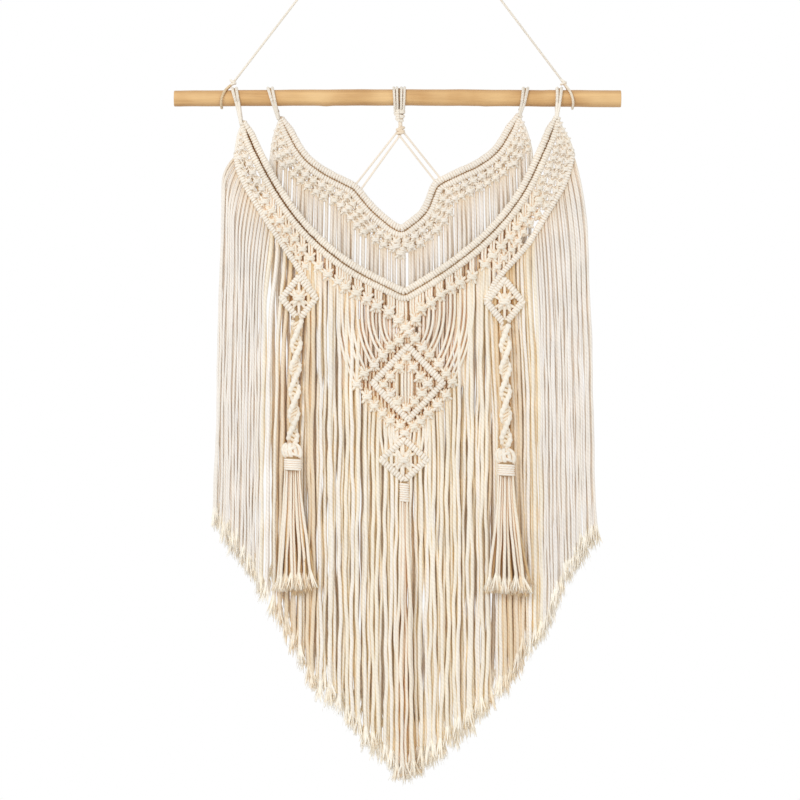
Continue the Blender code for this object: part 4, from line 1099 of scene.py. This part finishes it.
def make_lower_fringe():
    sides, middle, rear, frays = Yarn(), Yarn(), Yarn(), Yarn()
    for rows, first, split, last, early, settle in (
        (LEFT_OUTER_BAR, -209.0, -156.0, -107.0, 0.57, 28.0),
        (RIGHT_OUTER_BAR, 220.0, 158.0, 107.0, 0.5, 90.0),
    ):
        bar = smooth_run(rows, 0.5)
        inner = split + math.copysign(3.0, split)
        for yarn, start, end, pitch, depth, layer, radius, tone in (
            (sides, first, split, 3.3, -5.0, -5.0, 1.5, 0.2),
            (sides, first, split, 3.3, -3.5, -2.4, 1.6, 0.3),
            (middle, inner, last, 7.2, -5.0, -4.6, 2.1, 0.0),
            (middle, inner, last, 6.6, -3.5, -1.2, 2.1, 0.5),
        ):
            count = round(abs(end - start) / pitch)
            place = (np.arange(count) + (0.25 if depth < -4 else 0.75)) / count
            hem = start + (end - start) * place + rng.normal(0, 0.7, count)
            share = np.clip((hem - first) / (last - first), 0.0, 1.0)
            spots = bar[np.round((0.01 + 0.98 * share) * (len(bar) - 1)).astype(int)]
            layers = np.where(near_sinnet(hem, 1) < 26, np.maximum(layer, -3.2), layer)
            # Painted shade on the strands beside the sinnets
            hang(yarn, frays, at_depth(depth, spots), hem, hem_at(hem, 6.0), layers, radius, wave=0.6,
                 tone=(tone, 1.0), shade=np.where(near_sinnet(spots[:, 0], 0) < 13, 0.22, 0.0),
                 settle=settle + 130.0 * share, early=early, quick=yarn is sides)
    roots_line = np.array(hanging_line(), float)
    for yarn, count, shift, layer, radius, spread, tone in (
        (middle, 29, 0.0, -6.6, 2.2, 5.0, (0.0, 0.7)), (middle, 29, 0.5, -3.2, 2.1, 7.0, (0.5, 1.0)),
        (rear, 17, 0.25, 0.2, 2.0, 12.0, (0.5, 1.0)),
    ):
        hem = MIDDLE_LEFT + MIDDLE_WIDTH * (np.arange(count) + shift) / count + rng.normal(0, 1.7, count)
        root_across = hem * (1 - 0.10 * np.exp(-((hem + 2) / 45.0) ** 2))
        roots = at_depth(LOWER_DEPTH + 1.0, root_across, on_line(roots_line, root_across))
        # Painted shade on the strands beside the sinnets
        hang(yarn, frays, roots, hem, hem_at(hem, spread), layer, radius, wave=1.1, tone=tone,
             shade=np.where(near_sinnet(root_across, 0) < 18, 0.2, 0.0))
    sides.build("lower_side_strands", SIDE_COTTON)
    middle.build("lower_middle_strands", MIDDLE_COTTON)
    rear.build("lower_rear_strands", MIDDLE_COTTON)
    frays.build("lower_frays", FRAY)


# ---- sinnets, tassels, bridle, hanger

def wound(yarn, across, down, depth, half_width, half_depth, height, cord, turns):
    """Turns of a cord wound round something upright."""
    t = np.linspace(0, turns, turns * 16 + 1)
    uneven = 1 + by_turn(t, turns, 0.02)
    points = np.column_stack([
        across + (half_width - cord) * uneven * np.cos(FULL_TURN * t),
        down + height * t / turns,
        depth + (half_depth - cord) * uneven * np.sin(FULL_TURN * t),
    ])
    yarn.sweep(points, cord, sides=7, tone=rng.uniform(0.7, 1.0))


def make_sinnet(name, row):
    """Half-knots that turn as they go down, and a berry knot below them."""
    top_across, bottom_across, top, bottom, half_turns = row
    lean, fall = bottom_across - top_across, bottom - top
    first_turn = 0.157 if top_across < 0 else -0.38
    yarn = Yarn()
    count = round(fall / 4.5)
    for number in range(count):
        share = number / (count - 1)
        turn = first_turn - math.pi * half_turns * share
        reach = (4.2 + rng.normal(0, 0.2)) * (0.6 + 0.4 * abs(math.cos(turn)))
        place = (top_across + lean * share, top + fall * share, SINNET_DEPTH + 0.4)
        ring = ring_of(*place, reach, 1.5, -2.2, turn)
        # The recessed rings, lightly darkened with painted shade
        yarn.sweep(ring, 2.0, sides=8, tone=rng.uniform(0, 0.6), shade=0.12)
    t = np.linspace(0, 1, 110)
    for side in (0.0, math.pi):
        turn = first_turn - math.pi * half_turns * t + side
        bulge = 4.3 * (0.5 + 0.5 * np.abs(np.cos(turn)))
        points = np.column_stack([
            top_across + lean * t + bulge * np.cos(turn),
            top - 3 + (fall + 6) * t,
            SINNET_DEPTH + 0.3 + 0.9 * bulge * np.sin(turn),
        ])
        beads = 3.0 * (1 + 0.17 * np.sin(FULL_TURN * fall / 5.2 * t + side))
        yarn.sweep(points, beads, sides=10, tone=0.5)
    t = np.linspace(0, 1, 70)
    # A core darkened with painted shade, which shows between the ridges
    core = at_depth(SINNET_DEPTH, top_across + lean * t, top - 8 + (fall + 14) * t)
    yarn.sweep(core, 2.4, sides=8, shade=0.6)
    make_berry(yarn, bottom_across, bottom + 8.4)
    yarn.build(name + "_cords", COTTON, [name])


def make_berry(yarn, centre, middle):
    """A round knot of nine cords over a filler, and two cords across them."""
    depth = TASSEL_DEPTH + 1.0
    t = np.linspace(-1, 1, 9)
    # The filler, darkened with painted shade where it shows between the cords
    filler = at_depth(depth, np.full(9, centre), middle + 6.5 * t)
    yarn.sweep(filler, 5.5 * np.sqrt(1.05 - t * t), sides=14, shade=0.5)
    for number, turn in enumerate(np.radians((-84, -50, -14, 22, 56, 88, 135, 180, 225))):
        swell = 1.0 + 0.07 * (-1) ** number
        rows = [
            (centre + 9.4 * swell * math.sin(turn) * math.cos(rise) ** 0.6 + 1.2 * rise,
             middle + 7.2 * swell * math.sin(rise),
             depth - 6.4 * swell * math.cos(turn) * math.cos(rise) ** 0.6)
            for rise in np.linspace(-1.3, 1.05, 9)
        ]
        cord_between(yarn, rows, 2.7, 1.8)
    for lift, tilt, reach in ((-3.4, -2.4, (-70, 30)), (2.6, 2.8, (-10, 75))):
        rows = [
            (centre + 7.6 * math.sin(turn), middle + lift + tilt * math.sin(turn),
             depth - 7.4 * math.cos(turn))
            for turn in np.radians(np.linspace(*reach, 7))
        ]
        cord_between(yarn, rows, 1.9, 1.8)


def make_tassel(name, row, layers, strand_radius, apart):
    """A wrapped bundle. layers says how many strands each has, from the front, and apart their distance."""
    across, top, width, height, hem_left, hem_right, hem, depth = row
    yarn, frays = Yarn(), Yarn()
    half_depth, turns = width / 2 * 0.85, round(height / 2.6)
    wound(yarn, across, top - 0.6, depth, width / 2, half_depth, height - 0.6, 1.4, turns)
    inner = np.array([(across, top + fall, depth) for fall in (-2.0, height / 2, height)])
    # A core inside the wrap, darkened with painted shade
    yarn.sweep(inner, width / 2 - 2.4, sides=12, shade=0.7)
    for layer, count in enumerate(layers):
        share = (np.arange(count) + (0.5 if layer % 2 == 0 else 0.9)) / (count + 0.4)
        offset = depth + (layer - (len(layers) - 1) / 2) * apart + (-1.0) ** np.arange(count)
        start = across + (share - 0.5) * (width - 1.0)
        roots = np.column_stack([start, np.full(count, top + height - 3.0), offset * 0.7 + depth * 0.3])
        hem_across = hem_left + (hem_right - hem_left) * share + rng.normal(0, 0.8, count)
        hem_down = hem + rng.normal(0, 2.0, count) + 2.0 * (layer > 1)
        # The rear layers are darkened more and more with painted shade
        hang(yarn, frays, roots, hem_across, hem_down, offset, strand_radius, wave=1.15, tone=(0.0, 0.6),
             shade=(0.03, 0.4, 0.7)[layer], settle=(hem - top) * 1.25, fray=20.0, ragged=0.2, flare=4.6,
             slim=0.62, root_shade=0.0)
    yarn.build(name + "_cords", COTTON, [name])
    frays.build(name + "_frays", FRAY)


def make_bridle():
    """Turns over the rod, a square knot, a round knot, and a pair of lines to each side."""
    yarn = Yarn()
    for across in (-7.0, -3.4, 1.6, 5.2):
        rope(yarn, rod_turn(across, 0.72 * across, 16.5, -1.0, 1.5, 120), 1.5)
    # A dark cord with painted shade in the gap between the two pairs
    yarn.sweep(smooth_run(rod_turn(-0.9, -0.6, 13.0, 0.8, 0.6, 110), 2.0), 0.9, sides=6, shade=0.8)
    # The core under the knot, lightly darkened with painted shade
    core = ((-0.6, 10.0, -0.6), (-0.5, 14.0, -0.8), (-0.2, 19.0, -0.8), (0.3, 25.0, -0.4), (0.5, 35.0, 0.0))
    yarn.sweep(smooth_run(core, 1.5), 2.3, sides=8, tone=0.5, shade=0.1)
    angle = np.linspace(0, FULL_TURN, 25)
    for lift, half, tilt in SQUARE_KNOT_TURNS:
        points = np.column_stack([
            half * np.sin(angle) - 0.7 + 0.05 * (lift - 14.0), lift + tilt * np.sin(angle + 0.6),
            -(0.75 * half + 0.5) * np.cos(angle) - 0.6,
        ])
        yarn.sweep(points, 1.7, sides=8, tone=0.3)
    # The round knot, darkened a little with painted shade
    for tilt, lift in ((-0.5, -2.2), (0.35, 0.0), (-0.2, 2.4)):
        ring = ring_of(0.5, 36.5 + lift, 0.0, 3.7, 3.3, 2.2 * tilt, points=21)
        yarn.sweep(ring, 1.6, sides=8, tone=0.9, shade=0.22)
    # The lines, lightly darkened with painted shade
    for start, end in BRIDLE_LINES:
        middle = ((start[0] + end[0]) / 2, (start[1] + end[1]) / 2, UPPER_DEPTH / 2)
        rows = ((*start, 0.0), middle, (*end, UPPER_DEPTH - 0.5))
        cord_between(yarn, rows, 1.15, 3.0, 9, tone=1.0, shade=0.12)
    yarn.build("bridle_cords", UPPER_COTTON, ["centre_bridle"])


def make_hanger():
    """The thin line over the nail, knotted at each end to a loop round the rod."""
    yarn = Yarn()
    left_knot, right_knot = (-187.0, -16.8, 0.0), (183.0, -17.4, 0.0)
    top = -HANGER_HEIGHT - 1.3
    bend = [
        (2.6 * math.sin(turn), top + 2.6 * (1 - math.cos(turn)), 0.0)
        for turn in np.radians((-53, -30, 0, 30, 53))
    ]
    guides = np.array([left_knot, *bend, right_knot])
    line = np.concatenate([even_steps(np.array(pair), 1.2)[:-1] for pair in zip(guides, guides[1:])])
    yarn.sweep(line, 1.3, sides=12, tone=0.6, lobes=3, lobe=0.14, pitch=5.0)
    # The left loop carries more painted shade than the right one
    for knot, start, end, shade in ((left_knot, -193.6, -199.6, 0.3), (right_knot, 187.4, 193.0, 0.08)):
        rod_down, rod_radius = rod_at(start)
        away = rod_radius + 1.5 + 0.4
        middle, half, bulge = (start + end) / 2, (start - end) / 2, math.copysign(2.6, start)
        ring = [
            (middle + half * math.cos(turn) + bulge * math.sin(turn) ** 2,
             rod_down - away * math.cos(turn), away * math.sin(turn))
            for turn in np.radians(np.linspace(20, 340, 18))
        ]
        rope(yarn, (knot, *ring, knot), 1.5, shade=shade)
        for tilt, lift in ((0.9, -1.2), (-0.6, 0.9)):
            ring = ring_of(knot[0], knot[1] + lift, 0.0, 2.6, 2.4, 2.0 * tilt, points=21)
            yarn.sweep(ring, 1.35, sides=8, tone=0.5)
    yarn.build("hanger_rope", COTTON, ["hanger_cord"])


# ---- stage

def make_stage():
    floor = bpy.data.meshes.new("floor")
    around = np.arange(96) / 96 * FULL_TURN
    edge = [(1.1 * math.cos(a), 1.1 * math.sin(a), -1.30) for a in around]
    floor.from_pydata(edge, [], [tuple(range(96))])
    material, nodes, shader = new_material("pale_floor")
    speckle = nodes.add("TexNoise", {"Scale": 40.0, "Detail": 3.0}).outputs["Fac"]
    colour = nodes.mix(speckle, (0.84, 0.84, 0.84), (0.88, 0.88, 0.87))
    nodes.fill(shader, {"Base Color": colour, "Roughness": 0.8})
    floor.materials.append(material)
    add_object("floor", floor)
    world = bpy.data.worlds.new("studio")
    bpy.context.scene.world = world
    world.use_nodes = True
    nodes = Nodes(world.node_tree)
    seen = nodes.add("LightPath").outputs["Is Camera Ray"]
    strength = nodes.line(seen, 1.0 - SKY_LIGHT, SKY_LIGHT)
    nodes.fill(world.node_tree.nodes["Background"], {0: (1.0, 1.0, 1.0), 1: strength})
    for name, spot, size, power in LAMPS:
        light = bpy.data.lights.new(name, "AREA")
        light.size = size
        light.energy = power
        lamp = add_object(name, light)
        lamp.location = spot
        lamp.rotation_euler = (Vector((0, 0, -0.55)) - lamp.location).to_track_quat("-Z", "Y").to_euler()
    camera = bpy.data.cameras.new("camera")
    camera.lens = camera.sensor_width * CAMERA_DISTANCE / SEEN_WIDTH
    view = add_object("camera", camera)
    view.location = (0.0, -CAMERA_DISTANCE, CAMERA_HEIGHT)
    view.rotation_euler = (math.radians(90), 0.0, 0.0)
    bpy.context.scene.camera = view
    bpy.context.scene.view_settings.view_transform = "Standard"
    bpy.context.scene.cycles.diffuse_bounces = 8


make_stage()
make_rod()
make_hanger()
make_bridle()
make_upper_panel()
make_lower_knotwork()
make_lower_fringe()
make_sinnet("left_sinnet", LEFT_SINNET)
make_sinnet("right_sinnet", RIGHT_SINNET)
make_tassel("left_tassel", LEFT_TASSEL, (8, 7, 4), 1.75, 2.6)
make_tassel("right_tassel", RIGHT_TASSEL, (8, 7, 4), 1.75, 2.6)
make_tassel("centre_tassel", CENTRE_TASSEL, (4, 3), 2.0, 4.0)
